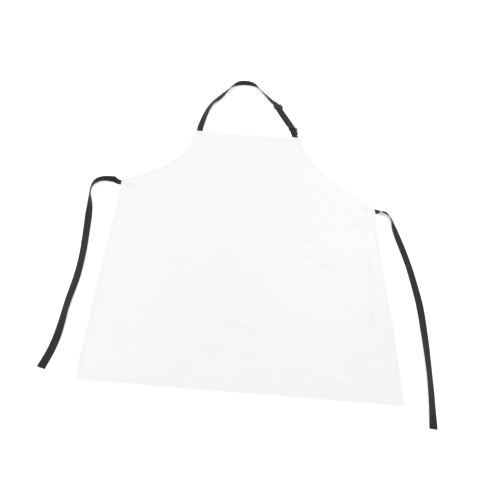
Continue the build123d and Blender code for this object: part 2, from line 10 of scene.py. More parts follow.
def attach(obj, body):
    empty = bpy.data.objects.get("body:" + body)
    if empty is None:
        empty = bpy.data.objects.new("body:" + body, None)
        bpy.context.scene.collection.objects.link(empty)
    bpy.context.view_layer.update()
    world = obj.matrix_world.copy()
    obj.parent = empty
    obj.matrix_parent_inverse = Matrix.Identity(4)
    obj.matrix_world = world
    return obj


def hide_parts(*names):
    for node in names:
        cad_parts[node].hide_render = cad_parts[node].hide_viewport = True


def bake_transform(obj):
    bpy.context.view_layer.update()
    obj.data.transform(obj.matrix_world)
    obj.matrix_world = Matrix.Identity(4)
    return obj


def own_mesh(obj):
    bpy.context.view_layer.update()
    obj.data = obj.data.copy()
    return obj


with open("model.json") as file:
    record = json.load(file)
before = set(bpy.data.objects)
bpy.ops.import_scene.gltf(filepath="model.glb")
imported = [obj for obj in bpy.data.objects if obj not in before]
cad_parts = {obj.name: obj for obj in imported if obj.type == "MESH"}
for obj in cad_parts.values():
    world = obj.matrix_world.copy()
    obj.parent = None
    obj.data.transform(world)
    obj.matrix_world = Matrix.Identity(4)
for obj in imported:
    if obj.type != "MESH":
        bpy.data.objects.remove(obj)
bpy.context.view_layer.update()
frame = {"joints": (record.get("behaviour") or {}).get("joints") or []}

JOINT = {j["name"]: j for j in frame["joints"]}

# ---------------------------------------------------------------------------
# Frame. The webbing and the panel are drawn in panel millimetres (origin in
# the middle of the bottom hem), as the CAD model is, and put in the row frame
# with the fold joint's own place.
# ---------------------------------------------------------------------------
FOLD_Y = 632.0
FOLD_AT = JOINT["bib_fold"]["pos_m"]
SX, SY = FOLD_AT[0] * 1000.0, FOLD_AT[1] * 1000.0 - FOLD_Y


def row(p):
    """Panel millimetres to row metres, for an array (n, 3)."""
    p = np.asarray(p, float)
    return (p + np.array([SX, SY, 0.0])) / 1000.0


# ------------------------------------------------------------------ camera
def make_camera():
    yaw, pitch, roll = 0.09597, 0.79213, 0.15680
    fwd = Vector((math.sin(yaw) * math.cos(pitch), math.cos(yaw) * math.cos(pitch), -math.sin(pitch)))
    right = Vector((math.cos(yaw), -math.sin(yaw), 0.0))
    up = right.cross(fwd)
    r = right * math.cos(roll) + up * math.sin(roll)
    u = -right * math.sin(roll) + up * math.cos(roll)
    data = bpy.data.cameras.new("camera")
    data.sensor_width = 36.0
    data.lens = 715.03 / 500.0 * 36.0
    data.clip_start, data.clip_end = 0.05, 60.0
    cam = bpy.data.objects.new("camera", data)
    bpy.context.scene.collection.objects.link(cam)
    m = Matrix.Identity(4)
    for i in range(3):
        m[i][0], m[i][1], m[i][2] = r[i], u[i], -fwd[i]
    place = row([[-109.634, -822.766, 1262.439]])[0]
    m[0][3], m[1][3], m[2][3] = place
    cam.matrix_world = m
    bpy.context.scene.camera = cam
    return cam


make_camera()

# ------------------------------------------------------------------ webbing
WEB_W, WEB_T = 17.5, 1.0

# control points of the routes: x, y (panel mm), height gained over the table, tilt (degrees;
# 90 = standing on edge, right-hand edge up)
LEFT_TIE = [(-300, 612.5, 0, 0), (-316, 617.6, 0, 0), (-330, 621.8, 0, 0), (-335.5, 623.4, 0, 0),
            (-341.5, 625.2, 0, 0), (-347.3, 626.8, 0, 4), (-352.7, 626.4, 0, 44), (-358.3, 625.5, 0, 77),
            (-366, 625.7, 0, 85), (-372.1, 626.3, 0, 89), (-382.4, 625, 0, 94), (-391.9, 621.5, 0, 97),
            (-400.3, 614, 0, 95), (-405.6, 605, 0, 98), (-408.9, 594.4, 0, 96), (-409.3, 583.6, 0, 95),
            (-409, 572.1, 0, 89), (-406.9, 559.7, 0, 79), (-404.5, 547, 0, 67), (-402.7, 534.4, 0, 55),
            (-401.3, 522.2, 0, 45), (-400.2, 510.5, 0, 37), (-399.4, 497.3, 0, 27), (-398.2, 478.2, 0, 8),
            (-396.2, 450.7, 0, -8), (-393.1, 410.2, 0, -14), (-390.1, 366.1, 0, -18), (-389.1, 322.2, 0, -18),
            (-389.8, 284.4, 0, -12), (-392.5, 246.8, 0, -14), (-395.9, 209, 0, -21), (-397.3, 174.4, 0, -28),
            (-398.2, 141.1, 0, -17), (-400.2, 107.3, 0, -4), (-404.9, 74.5, 0, -2), (-411.6, 45.5, 0, 4),
            (-416.9, 25.1, 0, 6)]
RIGHT_TIE = [(305, 607.5, 0, 0), (322, 606.2, 0, 0), (338, 604.4, 0, 0), (352.5, 601.5, 0, 0),
             (356.2, 600.2, 0, 20), (360.4, 598.8, 0, 42), (365.3, 596.9, 0, 54), (370.9, 594.4, 0, 58),
             (376.4, 590.6, 0, 57), (380.6, 585.4, 0, 54), (383.4, 578.4, 0, 50), (385.5, 569, 0, 48),
             (387.4, 557.6, 0, 47), (388.7, 545.2, 0, 29), (390.8, 532.2, 0, 14), (394.3, 511.4, 0, 5),
             (400.2, 477.9, 0, -2), (406.7, 436.1, 0, 0), (411.7, 394.5, 0, 4), (414.8, 354.6, 0, 3),
             (417.6, 315.6, 0, -1), (419.1, 278.9, 0, -2), (418.5, 242.7, 0, 5), (416.8, 206.7, 0, 8),
             (415.4, 171.8, 0, 15), (413.2, 137.2, 0, 23), (411.2, 104.7, 0, 26), (408.9, 73.7, 0, 31),
             (406.7, 42.7, 0, 26), (403.5, 12.6, 0, 26), (400.4, -18.7, 0, 18), (397.3, -51.3, 0, 0)]
RING_BAR = np.array([129.4, 939.0])
DOUBLE_DIR = np.array([-0.386, 0.9225])
DOUBLE_LEN = 112.0
RING_DIR = np.array([-0.2991, 0.9542])
RING_GAP = 8.9
TAB_BAR = RING_BAR - RING_DIR * RING_GAP
TAB_DIR = np.array([-0.2079, 0.9781])
TURN_Z = 2.55


def on(base, direction, a, b=0.0):
    """Point a along a strap's direction and b to its right-hand side, panel mm."""
    return (base[0] + direction[0] * a + direction[1] * b, base[1] + direction[1] * a - direction[0] * b)


NECK = [(-145.6, 858, 0, 0), (-145.6, 880, 0, 0), (-144.9, 902.9, 0, 0), (-141.6, 921.4, 0, 11),
        (-138, 944, 0, 19), (-132.8, 969.9, 0, 26), (-126.1, 996.2, 0, 32), (-117.6, 1022.3, 0, 33),
        (-108.8, 1038.4, 0, 19), (-100.7, 1052.7, 0, 12), (-92.1, 1067.2, 0, 15), (-83.7, 1082.4, 0, 27),
        (-74.6, 1099.8, 0, 41), (-62.2, 1122.7, 0, 57), (-40, 1144.8, 0, 86), (-9, 1151.5, 0, 87),
        (16.6, 1144.2, 0, 66), (30.9, 1124.7, 0, 48), (45.7, 1103.7, 0, 35), (57.5, 1086.1, 0.2, 26),
        (67.6, 1069.3, 1.7, 14)]
NECK += [(*on(RING_BAR, DOUBLE_DIR, a, -1.0 if a == 130 else 0.0), z, 0) for a, z in
         ((130, 3.5), (118.5, 4.15), (104, 4.1), (78, 4.1), (50, 4.1), (24, 4.1), (8, 4.1), (1.2, 4.15),
          (-2.45, 4.1), (-2.45, 0.0), (1.0, 0.0), (3.2, 0.0))]


def nurbs_points(control, name, steps=14):
    """Points of the order 3 NURBS over the control points, read from a curve with no bevel."""
    data = bpy.data.curves.new(name, "CURVE")
    data.dimensions = "3D"
    sp = data.splines.new("NURBS")
    sp.points.add(len(control) - 1)
    for q, c in zip(sp.points, control):
        q.co = (c[0], c[1], c[2], 1.0)
    sp.order_u = 3
    sp.use_endpoint_u = True
    sp.resolution_u = steps
    data.resolution_u = steps
    obj = bpy.data.objects.new(name, data)
    mesh = bpy.data.meshes.new_from_object(obj)
    pts = np.array([v.co for v in mesh.vertices], float).reshape(-1, 3)
    bpy.data.meshes.remove(mesh)
    bpy.data.objects.remove(obj)
    bpy.data.curves.remove(data)
    return pts


def ribbon_line(control, name, steps=14, wander=0.0, seed=0.0, hold=None):
    """Centreline, width direction and face normal of a strap of webbing along a route, in mm.
    wander is a little rise and roll that webbing keeps from its roll, hold a heading for the last
    stretch, where the strap turns back on itself."""
    flat = nurbs_points([(c[0] / 1000, c[1] / 1000, c[2] / 1000) for c in control], name, steps) * 1000
    tilt = nurbs_points([(c[3] / 1000, 0, 0) for c in control], name + "_tilt", steps)[:, 0] * 1000
    along = np.concatenate([[0], np.cumsum(np.linalg.norm(np.diff(flat, axis=0), axis=1))])
    t = np.gradient(flat, axis=0)
    t /= np.linalg.norm(t, axis=1)[:, None]
    plan = t[:, :2].copy()
    if hold is not None:
        first, heading = hold
        plan[along >= first] = heading
    plan /= np.linalg.norm(plan, axis=1)[:, None]
    right = np.stack([plan[:, 1], -plan[:, 0], np.zeros(len(plan))], 1)
    lie = np.abs(np.cos(np.radians(tilt))) ** 3
    ease = np.clip(along / 70.0 - 0.6, 0, 1) * np.clip((along[-1] - along) / 30.0, 0, 1)
    if hold is not None:
        ease = ease * np.clip((hold[0] - 30.0 - along) / 60.0, 0, 1)
    roll = wander * 2.2 * ease * lie * (np.sin(along / 41.0 + seed) + 0.6 * np.sin(along / 17.3 + 2.1 * seed))
    up = wander * 0.55 * ease * lie * (1 + np.sin(along / 33.0 + 1.7 * seed)) * (0.6 + 0.4 * np.sin(along / 87.0 + seed))
    th = np.radians(tilt + roll)
    w = right * np.cos(th)[:, None]
    w[:, 2] = np.sin(th)
    w -= t * (w * t).sum(1)[:, None]
    w /= np.linalg.norm(w, axis=1)[:, None]
    n = np.cross(w, t)
    c = flat.copy()
    c[:, 2] += WEB_W / 2 * np.abs(np.sin(th)) + WEB_T / 2 * np.abs(np.cos(th)) + up
    return c, w, n, along, tilt


def profile(width, thick):
    """Cross-section of webbing: a flat band with a slightly fuller selvedge and round edges."""
    hw, ht = width / 2, thick / 2
    top = []
    for s in (-1.0, -0.985, -0.955, -0.90, -0.80, -0.5, -0.2, 0.2, 0.5, 0.80, 0.90, 0.955, 0.985, 1.0):
        a = abs(s)
        if a > 0.999:
            k = 0.25
        elif a > 0.98:
            k = 0.72
        elif a > 0.95:
            k = 1.0
        elif a > 0.88:
            k = 1.06
        elif a > 0.79:
            k = 0.93
        else:
            k = 0.96
        top.append((s * hw, k * ht))
    return top + [(x, -y) for x, y in top[::-1]]


def to_object(name, verts, faces, smooth=True, uv=None, attrs=()):
    """Mesh object from row-frame metres; uv is one pair per vertex, attrs (name, values) per vertex."""
    me = bpy.data.meshes.new(name)
    me.from_pydata([tuple(v) for v in verts], [], [tuple(f) for f in faces])
    me.update()
    if smooth:
        me.polygons.foreach_set("use_smooth", [True] * len(me.polygons))
    loops = np.zeros(len(me.loops), np.int32)
    me.loops.foreach_get("vertex_index", loops)
    if uv is not None:
        layer = me.uv_layers.new(name="metres")
        layer.data.foreach_set("uv", np.asarray(uv, np.float32)[loops].ravel())
    for key, values in attrs:
        at = me.attributes.new(key, "FLOAT", "POINT")
        at.data.foreach_set("value", np.asarray(values, np.float32))
    obj = bpy.data.objects.new(name, me)
    bpy.context.scene.collection.objects.link(obj)
    return obj


def ribbon(name, c, w, n, along, width=WEB_W, thick=WEB_T, sealed=(False, False), material=None):
    """Webbing as a closed tube of rings. A sealed end is melted: thinner, uneven and rounded."""
    prof = np.array(profile(width, thick))
    k = len(prof)
    verts, uv, seal = [], [], []
    total = along[-1]
    for i in range(len(c)):
        s = 1.0
        x = prof.copy()
        d = min(along[i] if sealed[0] else 1e9, total - along[i] if sealed[1] else 1e9)
        if d < 2.2:
            f = max(0.0, 1 - d / 2.2)
            x[:, 1] *= 1 - 0.38 * f
            x[:, 0] *= 1 - 0.012 * f
            s = 1 - f
        verts.append(c[i] + np.outer(x[:, 0], w[i]) + np.outer(x[:, 1], n[i]))
        around = prof[:, 0]
        uv.append(np.stack([around / 1000 + 0.05, np.full(k, along[i] / 1000)], 1))
        seal.append(np.full(k, 1 - s))
    m = len(c)
    faces = []
    for i in range(m - 1):
        for j in range(k):
            a, b = i * k + j, i * k + (j + 1) % k
            faces.append((a, b, b + k, a + k))
    verts = np.concatenate(verts)
    uv = np.concatenate(uv)
    seal = np.concatenate(seal)
    extra, extra_uv, extra_seal = [], [], []
    half = k // 2
    for end, base in ((0, 0), (1, (m - 1) * k)):
        i = 0 if end == 0 else m - 1
        t = (c[1] - c[0]) if end == 0 else (c[-1] - c[-2])
        t = t / np.linalg.norm(t) * (-1 if end == 0 else 1)
        # a domed cap: an inner ring pushed out along the strap, then quads across it
        ring = []
        for j in range(k):
            x = prof[j] * np.array([0.985, 0.45])
            wob = 0.18 * math.sin(j * 2.7 + end * 1.3) if sealed[end] else 0.0
            extra.append(c[i] + x[0] * w[i] + x[1] * n[i] + t * (0.28 + wob))
            extra_uv.append((prof[j][0] / 1000 + 0.05, (along[i] + 0.3) / 1000))
            extra_seal.append(1.0 if sealed[end] else 0.0)
            ring.append(len(verts) + len(extra) - 1)
        for j in range(k):
            a, b = base + j, base + (j + 1) % k
            e, f = ring[j], ring[(j + 1) % k]
            faces.append((b, a, e, f) if end == 0 else (a, b, f, e))
        for j in range(half - 1):
            q = (ring[j], ring[j + 1], ring[k - 2 - j], ring[k - 1 - j])
            faces.append(q[::-1] if end == 0 else q)
    verts = np.concatenate([verts, np.array(extra)])
    uv = np.concatenate([uv, np.array(extra_uv)])
    seal = np.concatenate([seal, np.array(extra_seal)])
    obj = to_object(name, row(verts), faces, uv=uv, attrs=[("sealed", seal)])
    if material:
        obj.data.materials.append(material)
    return obj


# ------------------------------------------------------------------ materials
def new_material(name):
    m = bpy.data.materials.new(name)
    m.use_nodes = True
    nt = m.node_tree
    nt.nodes.clear()
    out = nt.nodes.new("ShaderNodeOutputMaterial")
    sh = nt.nodes.new("ShaderNodeBsdfPrincipled")
    nt.links.new(sh.outputs["BSDF"], out.inputs["Surface"])
    return m, nt, sh


def node(nt, kind, inputs=None, **props):
    n = nt.nodes.new(kind)
    for k, v in props.items():
        setattr(n, k, v)
    for k, v in (inputs or {}).items():
        if isinstance(v, bpy.types.NodeSocket):
            nt.links.new(v, n.inputs[k])
        else:
            n.inputs[k].default_value = v
    return n


def calc(nt, op, a, b=0.0, c=0.0, clamp=False):
    return node(nt, "ShaderNodeMath", {0: a, 1: b, 2: c}, operation=op, use_clamp=clamp).outputs[0]


def ramp(nt, fac, stops):
    r = node(nt, "ShaderNodeValToRGB", {"Fac": fac})
    e = r.color_ramp.elements
    while len(e) < len(stops):
        e.new(0.5)
    for el, (pos, col) in zip(e, stops):
        el.position = pos
        el.color = (*col, 1.0)
    return r.outputs["Color"]


def coords(nt):
    return node(nt, "ShaderNodeTexCoord").outputs["Object"]


def noise(nt, vec, scale, detail=3.0, rough=0.55, out="Fac"):
    return node(nt, "ShaderNodeTexNoise", {"Vector": vec, "Scale": scale, "Detail": detail, "Roughness": rough}).outputs[out]


def mixc(nt, fac, a, b, blend="MIX"):
    n = nt.nodes.new("ShaderNodeMix")
    n.data_type = "RGBA"
    n.blend_type = blend
    for i, v in ((0, fac), (6, a), (7, b)):
        if isinstance(v, bpy.types.NodeSocket):
            nt.links.new(v, n.inputs[i])
        else:
            n.inputs[i].default_value = v if i == 0 else (*v, 1.0)
    return n.outputs[2]


def vinyl_material():
    """White coated sheet: smooth film over a fine cloth, a low gloss, faint grime and scuffs, and painted shade along
    the hem edges.
    """
    m, nt, sh = new_material("coated_sheet")
    vec = coords(nt)
    sep = node(nt, "ShaderNodeSeparateXYZ", {"Vector": vec})
    x, y = sep.outputs["X"], sep.outputs["Y"]
    # base cloth showing through the film: a plain weave of 0.55 mm threads
    k = 2 * math.pi / 0.00055
    wx = calc(nt, "SINE", calc(nt, "MULTIPLY", x, k))
    wy = calc(nt, "SINE", calc(nt, "MULTIPLY", y, k))
    weave = calc(nt, "MULTIPLY", wx, wy)
    pebble = noise(nt, vec, 1500.0, 4.0, 0.6)
    peel = noise(nt, vec, 260.0, 3.0, 0.5)
    soft = noise(nt, vec, 34.0, 4.0, 0.5)
    cloud = noise(nt, vec, 5.5, 5.0, 0.55)
    streak = noise(nt, node(nt, "ShaderNodeMapping", {"Vector": vec, "Rotation": (0, 0, 0.5), "Scale": (1.0, 5.5, 1.0)}).outputs[0], 9.0, 4.0, 0.6)
    tone = mixc(nt, calc(nt, "MULTIPLY", cloud, 0.9), (0.748, 0.748, 0.748), (0.768, 0.768, 0.768))
    tone = mixc(nt, calc(nt, "MULTIPLY", calc(nt, "SUBTRACT", streak, 0.45, clamp=True), 0.35), tone, (0.722, 0.722, 0.722))
    under = node(nt, "ShaderNodeAttribute", attribute_name="under").outputs["Fac"]
    under = calc(nt, "MULTIPLY", under, calc(nt, "ADD", 0.75, calc(nt, "MULTIPLY", soft, 0.4)), clamp=True)
    tone = mixc(nt, under, tone, (0.722, 0.722, 0.722))
    # painted shade: the sheet is darkened along its cut edges and round the folded rim of each hem, where shade falls
    edge = node(nt, "ShaderNodeAttribute", attribute_name="hem_edge_painted_shade").outputs["Fac"]
    tone = mixc(nt, calc(nt, "MULTIPLY", edge, calc(nt, "MULTIPLY", soft, 0.30)), tone, (0.69, 0.69, 0.688))
    nt.links.new(tone, sh.inputs["Base Color"])
    rough = node(nt, "ShaderNodeMapRange", {"Value": calc(nt, "ADD", calc(nt, "MULTIPLY", cloud, 0.5), calc(nt, "MULTIPLY", streak, 0.5)),
                                            "From Min": 0.3, "From Max": 0.7, "To Min": 0.30, "To Max": 0.44}).outputs[0]
    nt.links.new(rough, sh.inputs["Roughness"])
    sh.inputs["Specular IOR Level"].default_value = 0.5
    sh.inputs["IOR"].default_value = 1.52
    sh.inputs["Subsurface Weight"].default_value = 0.0
    h = calc(nt, "ADD", calc(nt, "MULTIPLY", weave, 0.10), calc(nt, "MULTIPLY", pebble, 0.32))
    b1 = node(nt, "ShaderNodeBump", {"Strength": 0.22, "Distance": 0.00006, "Height": h})
    b2 = node(nt, "ShaderNodeBump", {"Strength": 0.30, "Distance": 0.00025, "Height": peel, "Normal": b1.outputs[0]})
    b3 = node(nt, "ShaderNodeBump", {"Strength": 0.35, "Distance": 0.0012, "Height": soft, "Normal": b2.outputs[0]})
    nt.links.new(b3.outputs[0], sh.inputs["Normal"])
    return m


def webbing_material():
    """Black woven webbing: lengthwise ribs crossed by the weft, firm selvedges, melted cut ends."""
    m, nt, sh = new_material("webbing")
    uvn = node(nt, "ShaderNodeUVMap", uv_map="metres").outputs[0]
    sep = node(nt, "ShaderNodeSeparateXYZ", {"Vector": uvn})
    u, v = calc(nt, "SUBTRACT", sep.outputs["X"], 0.05), sep.outputs["Y"]
    pitch = 0.00088
    col = calc(nt, "DIVIDE", u, pitch)
    frac = calc(nt, "ABSOLUTE", calc(nt, "SUBTRACT", calc(nt, "FRACT", calc(nt, "ADD", col, 100.5)), 0.5))
    rib = calc(nt, "SUBTRACT", 1.0, calc(nt, "POWER", calc(nt, "MULTIPLY", frac, 2.0), 2.2))
    odd = calc(nt, "MULTIPLY", calc(nt, "FLOOR", calc(nt, "ADD", col, 100.5)), 0.5)
    twill = calc(nt, "ADD", calc(nt, "DIVIDE", v, 0.00155), calc(nt, "ADD", odd, calc(nt, "MULTIPLY", col, 0.28)))
    pick = calc(nt, "ABSOLUTE", calc(nt, "SUBTRACT", calc(nt, "FRACT", twill), 0.5))
    pick = calc(nt, "SUBTRACT", 1.0, calc(nt, "POWER", calc(nt, "MULTIPLY", pick, 2.0), 3.0))
    yarn = calc(nt, "MULTIPLY", rib, calc(nt, "ADD", 0.35, calc(nt, "MULTIPLY", pick, 0.65)))
    seal = node(nt, "ShaderNodeAttribute", attribute_name="sealed").outputs["Fac"]
    edge = calc(nt, "GREATER_THAN", calc(nt, "ABSOLUTE", u), 0.0069)
    vec = coords(nt)
    fuzz = noise(nt, vec, 2600.0, 3.0, 0.6)
    wear = noise(nt, vec, 48.0, 4.0, 0.6)
    base = mixc(nt, yarn, (0.0040, 0.0040, 0.0041), (0.0148, 0.0148, 0.0152))
    base = mixc(nt, calc(nt, "MULTIPLY", wear, 0.30), base, (0.023, 0.023, 0.024))
    # the selvedges are painted a little lighter: a painted highlight on the raised edges, with some wear
    base = mixc(nt, calc(nt, "MULTIPLY", edge, 0.30), base, (0.024, 0.024, 0.025))
    base = mixc(nt, seal, base, (0.006, 0.006, 0.006))
    nt.links.new(base, sh.inputs["Base Color"])
    r = calc(nt, "SUBTRACT", calc(nt, "ADD", 0.56, calc(nt, "MULTIPLY", fuzz, 0.22)), calc(nt, "MULTIPLY", seal, 0.34))
    nt.links.new(r, sh.inputs["Roughness"])
    sh.inputs["Specular IOR Level"].default_value = 0.27
    sh.inputs["Sheen Weight"].default_value = 0.05
    sh.inputs["Sheen Roughness"].default_value = 0.45
    sh.inputs["Sheen Tint"].default_value = (0.8, 0.8, 0.8, 1.0)
    h = calc(nt, "ADD", yarn, calc(nt, "MULTIPLY", fuzz, 0.22))
    h = calc(nt, "MULTIPLY", h, calc(nt, "SUBTRACT", 1.0, calc(nt, "MULTIPLY", seal, 0.85)))
    bump = node(nt, "ShaderNodeBump", {"Strength": 0.85, "Distance": 0.00022, "Height": h})
    nt.links.new(bump.outputs[0], sh.inputs["Normal"])
    return m


def plastic_material():
    """Black moulded acetal: satin, with a fine spark texture and rubbed edges."""
    m, nt, sh = new_material("moulded_plastic")
    vec = coords(nt)
    grain = noise(nt, vec, 3800.0, 2.0, 0.5)
    flow = noise(nt, node(nt, "ShaderNodeMapping", {"Vector": vec, "Scale": (1.0, 3.0, 1.0)}).outputs[0], 130.0, 4.0, 0.55)
    geo = node(nt, "ShaderNodeNewGeometry")
    edge = ramp(nt, geo.outputs["Pointiness"], [(0.50, (0, 0, 0)), (0.60, (1, 1, 1))])
    base = mixc(nt, calc(nt, "MULTIPLY", flow, 0.6), (0.010, 0.010, 0.010), (0.020, 0.020, 0.020))
    base = mixc(nt, calc(nt, "MULTIPLY", node(nt, "ShaderNodeSeparateColor", {"Color": edge}).outputs[0], 0.5), base, (0.055, 0.055, 0.055))
    nt.links.new(base, sh.inputs["Base Color"])
    nt.links.new(calc(nt, "ADD", 0.30, calc(nt, "MULTIPLY", flow, 0.18)), sh.inputs["Roughness"])
    sh.inputs["Specular IOR Level"].default_value = 0.5
    bump = node(nt, "ShaderNodeBump", {"Strength": 0.35, "Distance": 0.00003, "Height": grain})
    bump2 = node(nt, "ShaderNodeBump", {"Strength": 0.25, "Distance": 0.0001, "Height": flow, "Normal": bump.outputs[0]})
    nt.links.new(bump2.outputs[0], sh.inputs["Normal"])
    return m


def thread_material(name, dark, light):
    """Twisted polyester thread: two plies wound round each other."""
    m, nt, sh = new_material(name)
    uvn = node(nt, "ShaderNodeUVMap", uv_map="metres").outputs[0]
    sep = node(nt, "ShaderNodeSeparateXYZ", {"Vector": uvn})
    ply = calc(nt, "SINE", calc(nt, "ADD", calc(nt, "MULTIPLY", sep.outputs["Y"], 2 * math.pi / 0.00075),
                                calc(nt, "MULTIPLY", sep.outputs["X"], 4 * math.pi)))
    fib = noise(nt, coords(nt), 5200.0, 2.0, 0.6)
    f = calc(nt, "ADD", calc(nt, "MULTIPLY", ply, 0.35), fib)
    nt.links.new(mixc(nt, f, dark, light), sh.inputs["Base Color"])
    nt.links.new(calc(nt, "ADD", 0.42, calc(nt, "MULTIPLY", fib, 0.2)), sh.inputs["Roughness"])
    sh.inputs["Sheen Weight"].default_value = 0.15
    bump = node(nt, "ShaderNodeBump", {"Strength": 0.6, "Distance": 0.00008, "Height": f})
    nt.links.new(bump.outputs[0], sh.inputs["Normal"])
    return m


VINYL = vinyl_material()
WEBBING = webbing_material()
PLASTIC = plastic_material()
WHITE_THREAD = thread_material("white_thread", (0.66, 0.66, 0.65), (0.88, 0.88, 0.87))
BLACK_THREAD = thread_material("black_thread", (0.005, 0.005, 0.005), (0.022, 0.022, 0.023))

# ------------------------------------------------------------------ the two ties and the neck strap
BLEND_HALF = 22.0


def tie(name, control, nodes, seed):
    c, w, n, along, _ = ribbon_line(control, name + "_route", wander=0.3, seed=seed)
    obj = ribbon(name, c, w, n, along, sealed=(True, True), material=WEBBING)
    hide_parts(*nodes)
    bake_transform(obj)
    return obj, c


tie("left_tie", LEFT_TIE, ("left_tie_sewn_end", "left_waist_tie"),
    0.7)
tie("right_tie", RIGHT_TIE, ("right_tie_sewn_end", "right_waist_tie"),
    2.9)


neck_c, neck_w, neck_n, neck_s, _ = ribbon_line(
    NECK, "neck_route", wander=0.35, seed=1.3, hold=(471.0, -DOUBLE_DIR))
neck = ribbon("neck_strap_visual", neck_c, neck_w, neck_n, neck_s, sealed=(True, False), material=WEBBING)
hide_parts("neck_strap_sewn_end", "neck_strap")
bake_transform(neck)
print("NECK length", round(float(neck_s[-1]), 1), "max z", round(float(neck_c[:, 2].max()), 2))


def straight(name, base, direction, prof_line, width, thick, material, sealed=(False, False), steps=10):
    """Webbing on a straight heading: control points (along, height[, to the right]) from base."""
    ctrl = [(*on(base, direction, p[0], p[2] if len(p) > 2 else 0.0), p[1]) for p in prof_line]
    pts = nurbs_points([(p[0] / 1000, p[1] / 1000, p[2] / 1000) for p in ctrl], name, steps) * 1000
    s = np.concatenate([[0], np.cumsum(np.linalg.norm(np.diff(pts, axis=0), axis=1))])
    t = np.gradient(pts, axis=0)
    t /= np.linalg.norm(t, axis=1)[:, None]
    w = np.tile(np.array([direction[1], -direction[0], 0.0]), (len(pts), 1))
    if prof_line[-1][0] < prof_line[0][0]:
        w = -w
    n = np.cross(w, t)
    return ribbon(name, pts, w, n, s, width=width, thick=thick, sealed=sealed, material=material)


back = straight("neck_strap_return_visual", RING_BAR, DOUBLE_DIR,
                [(3.15, 0.5, 0), (8, 0.5, 0), (16, 0.5, -1.1), (28, 0.5, -1.7), (56, 0.5, -1.9), (84, 0.5, -1.7),
                 (96, 0.5, -1.1), (105, 0.5, 0), (DOUBLE_LEN + 2, 0.5, 0)], WEB_W, WEB_T, WEBBING)
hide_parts("neck_strap_return")
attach(back, "neck_loop")
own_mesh(back)

wrap = straight("strap_end_wrap_visual", RING_BAR, DOUBLE_DIR,
                [(DOUBLE_LEN - 7.0, 1.6), (DOUBLE_LEN - 4.5, 1.6), (DOUBLE_LEN - 2.75, 1.65), (DOUBLE_LEN - 2.7, 3.2),
                 (DOUBLE_LEN, 3.28), (DOUBLE_LEN + 2.7, 3.2), (DOUBLE_LEN + 2.7, 1.5), (DOUBLE_LEN + 2.6, 1.2)],
                WEB_W - 0.2, WEB_T - 0.06, WEBBING, sealed=(True, False))
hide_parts("strap_end_wrap")
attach(wrap, "slider")

# the tab: from behind the bib's right corner round the ring's lower bar and back over itself
tab = straight("ring_tab_visual", TAB_BAR, TAB_DIR,
               [(-64.0, 0.5, -0.6), (-50, 0.5, -1.1), (-30, 0.5, -1.6), (-20, 0.5, -1.9), (-12, 0.5, -2.1), (-6, 0.5, -1.7),
                (-2.5, 0.5, -1.0), (-0.5, 0.45, -0.5), (2.5, 0.45), (2.5, 4.65), (-0.5, 4.65, 0.3), (-4.5, 4.4, 0.7),
                (-9.0, 2.0, 1.3), (-12.0, 1.55, 1.7), (-15, 1.55, 1.9), (-18.8, 1.55, 2.0)],
               WEB_W, WEB_T - 0.04, WEBBING, sealed=(True, True))
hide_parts("ring_tab", "ring_tab_sewn_end")
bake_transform(tab)


# ------------------------------------------------------------------ slider and ring
def rounded_bar(bm, centre, along, across, up, size, r, seg=4):
    """Rounded block added to a bmesh: size (along, across, up), edge radius r, in mm."""
    made = bmesh.ops.create_cube(bm, size=1.0)
    m = Matrix.Identity(4)
    for i in range(3):
        m[i][0], m[i][1], m[i][2] = along[i] * size[0], across[i] * size[1], up[i] * size[2]
        m[i][3] = centre[i]
    bmesh.ops.transform(bm, matrix=m, verts=made["verts"])
    edges = list({e for v in made["verts"] for e in v.link_edges})
    bmesh.ops.bevel(bm, geom=edges, offset=r, segments=seg, profile=0.5, affect="EDGES")


def moulded(name, blocks, base, direction, voxel, body, node_name):
    """One moulded piece fused from rounded blocks (a, b, z centre; sizes; radius) along a strap."""
    d = (direction[0], direction[1], 0.0)
    v = (direction[1], -direction[0], 0.0)
    bm = bmesh.new()
    for (a, b, z), size, r in blocks:
        x, y = on(base, direction, a, b)
        rounded_bar(bm, (x, y, z), d, v, (0, 0, 1), size, r)
    me = bpy.data.meshes.new(name)
    bm.to_mesh(me)
    bm.free()
    obj = bpy.data.objects.new(name, me)
    bpy.context.scene.collection.objects.link(obj)
    mod = obj.modifiers.new("fuse", "REMESH")
    mod.mode = "VOXEL"
    mod.voxel_size = voxel
    mod.use_smooth_shade = True
    sm = obj.modifiers.new("soften", "SMOOTH")
    sm.factor = 0.5
    sm.iterations = 4
    dg = bpy.context.evaluated_depsgraph_get()
    fused = bpy.data.meshes.new_from_object(obj.evaluated_get(dg))
    obj.modifiers.clear()
    obj.data = fused
    co = np.zeros(len(fused.vertices) * 3, np.float32)
    fused.vertices.foreach_get("co", co)
    fused.vertices.foreach_set("co", row(co.reshape(-1, 3)).astype(np.float32).ravel())
    fused.update()
    fused.polygons.foreach_set("use_smooth", [True] * len(fused.polygons))
    fused.materials.clear()
    fused.materials.append(PLASTIC)
    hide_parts(node_name)
    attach(obj, body)
    return obj


L = DOUBLE_LEN
slider_blocks = [((L, 11.6, 3.8), (17.0, 3.6, 5.3), 1.45), ((L, -11.73, 3.8), (17.0, 3.34, 5.3), 1.45)]
slider_blocks += [((L + s * 6.15, 0, 5.9), (4.6, 23.8, 1.15), 0.5) for s in (1, -1)]
slider_blocks += [((L + s * 7.0, 0, 6.25), (1.6, 21.0, 0.9), 0.4) for s in (1, -1)]
slider_blocks += [((L, 0, 1.85), (3.5, 21.8, 1.3), 0.5)]
slider_blocks += [((L, s * 11.8, 6.35), (9.0, 2.0, 0.9), 0.4) for s in (1, -1)]
SKEW = math.radians(-2.8)        # the slider sits a little askew on the strap
SLIDER_DIR = np.array([DOUBLE_DIR[0] * math.cos(SKEW) - DOUBLE_DIR[1] * math.sin(SKEW),
                       DOUBLE_DIR[0] * math.sin(SKEW) + DOUBLE_DIR[1] * math.cos(SKEW)])
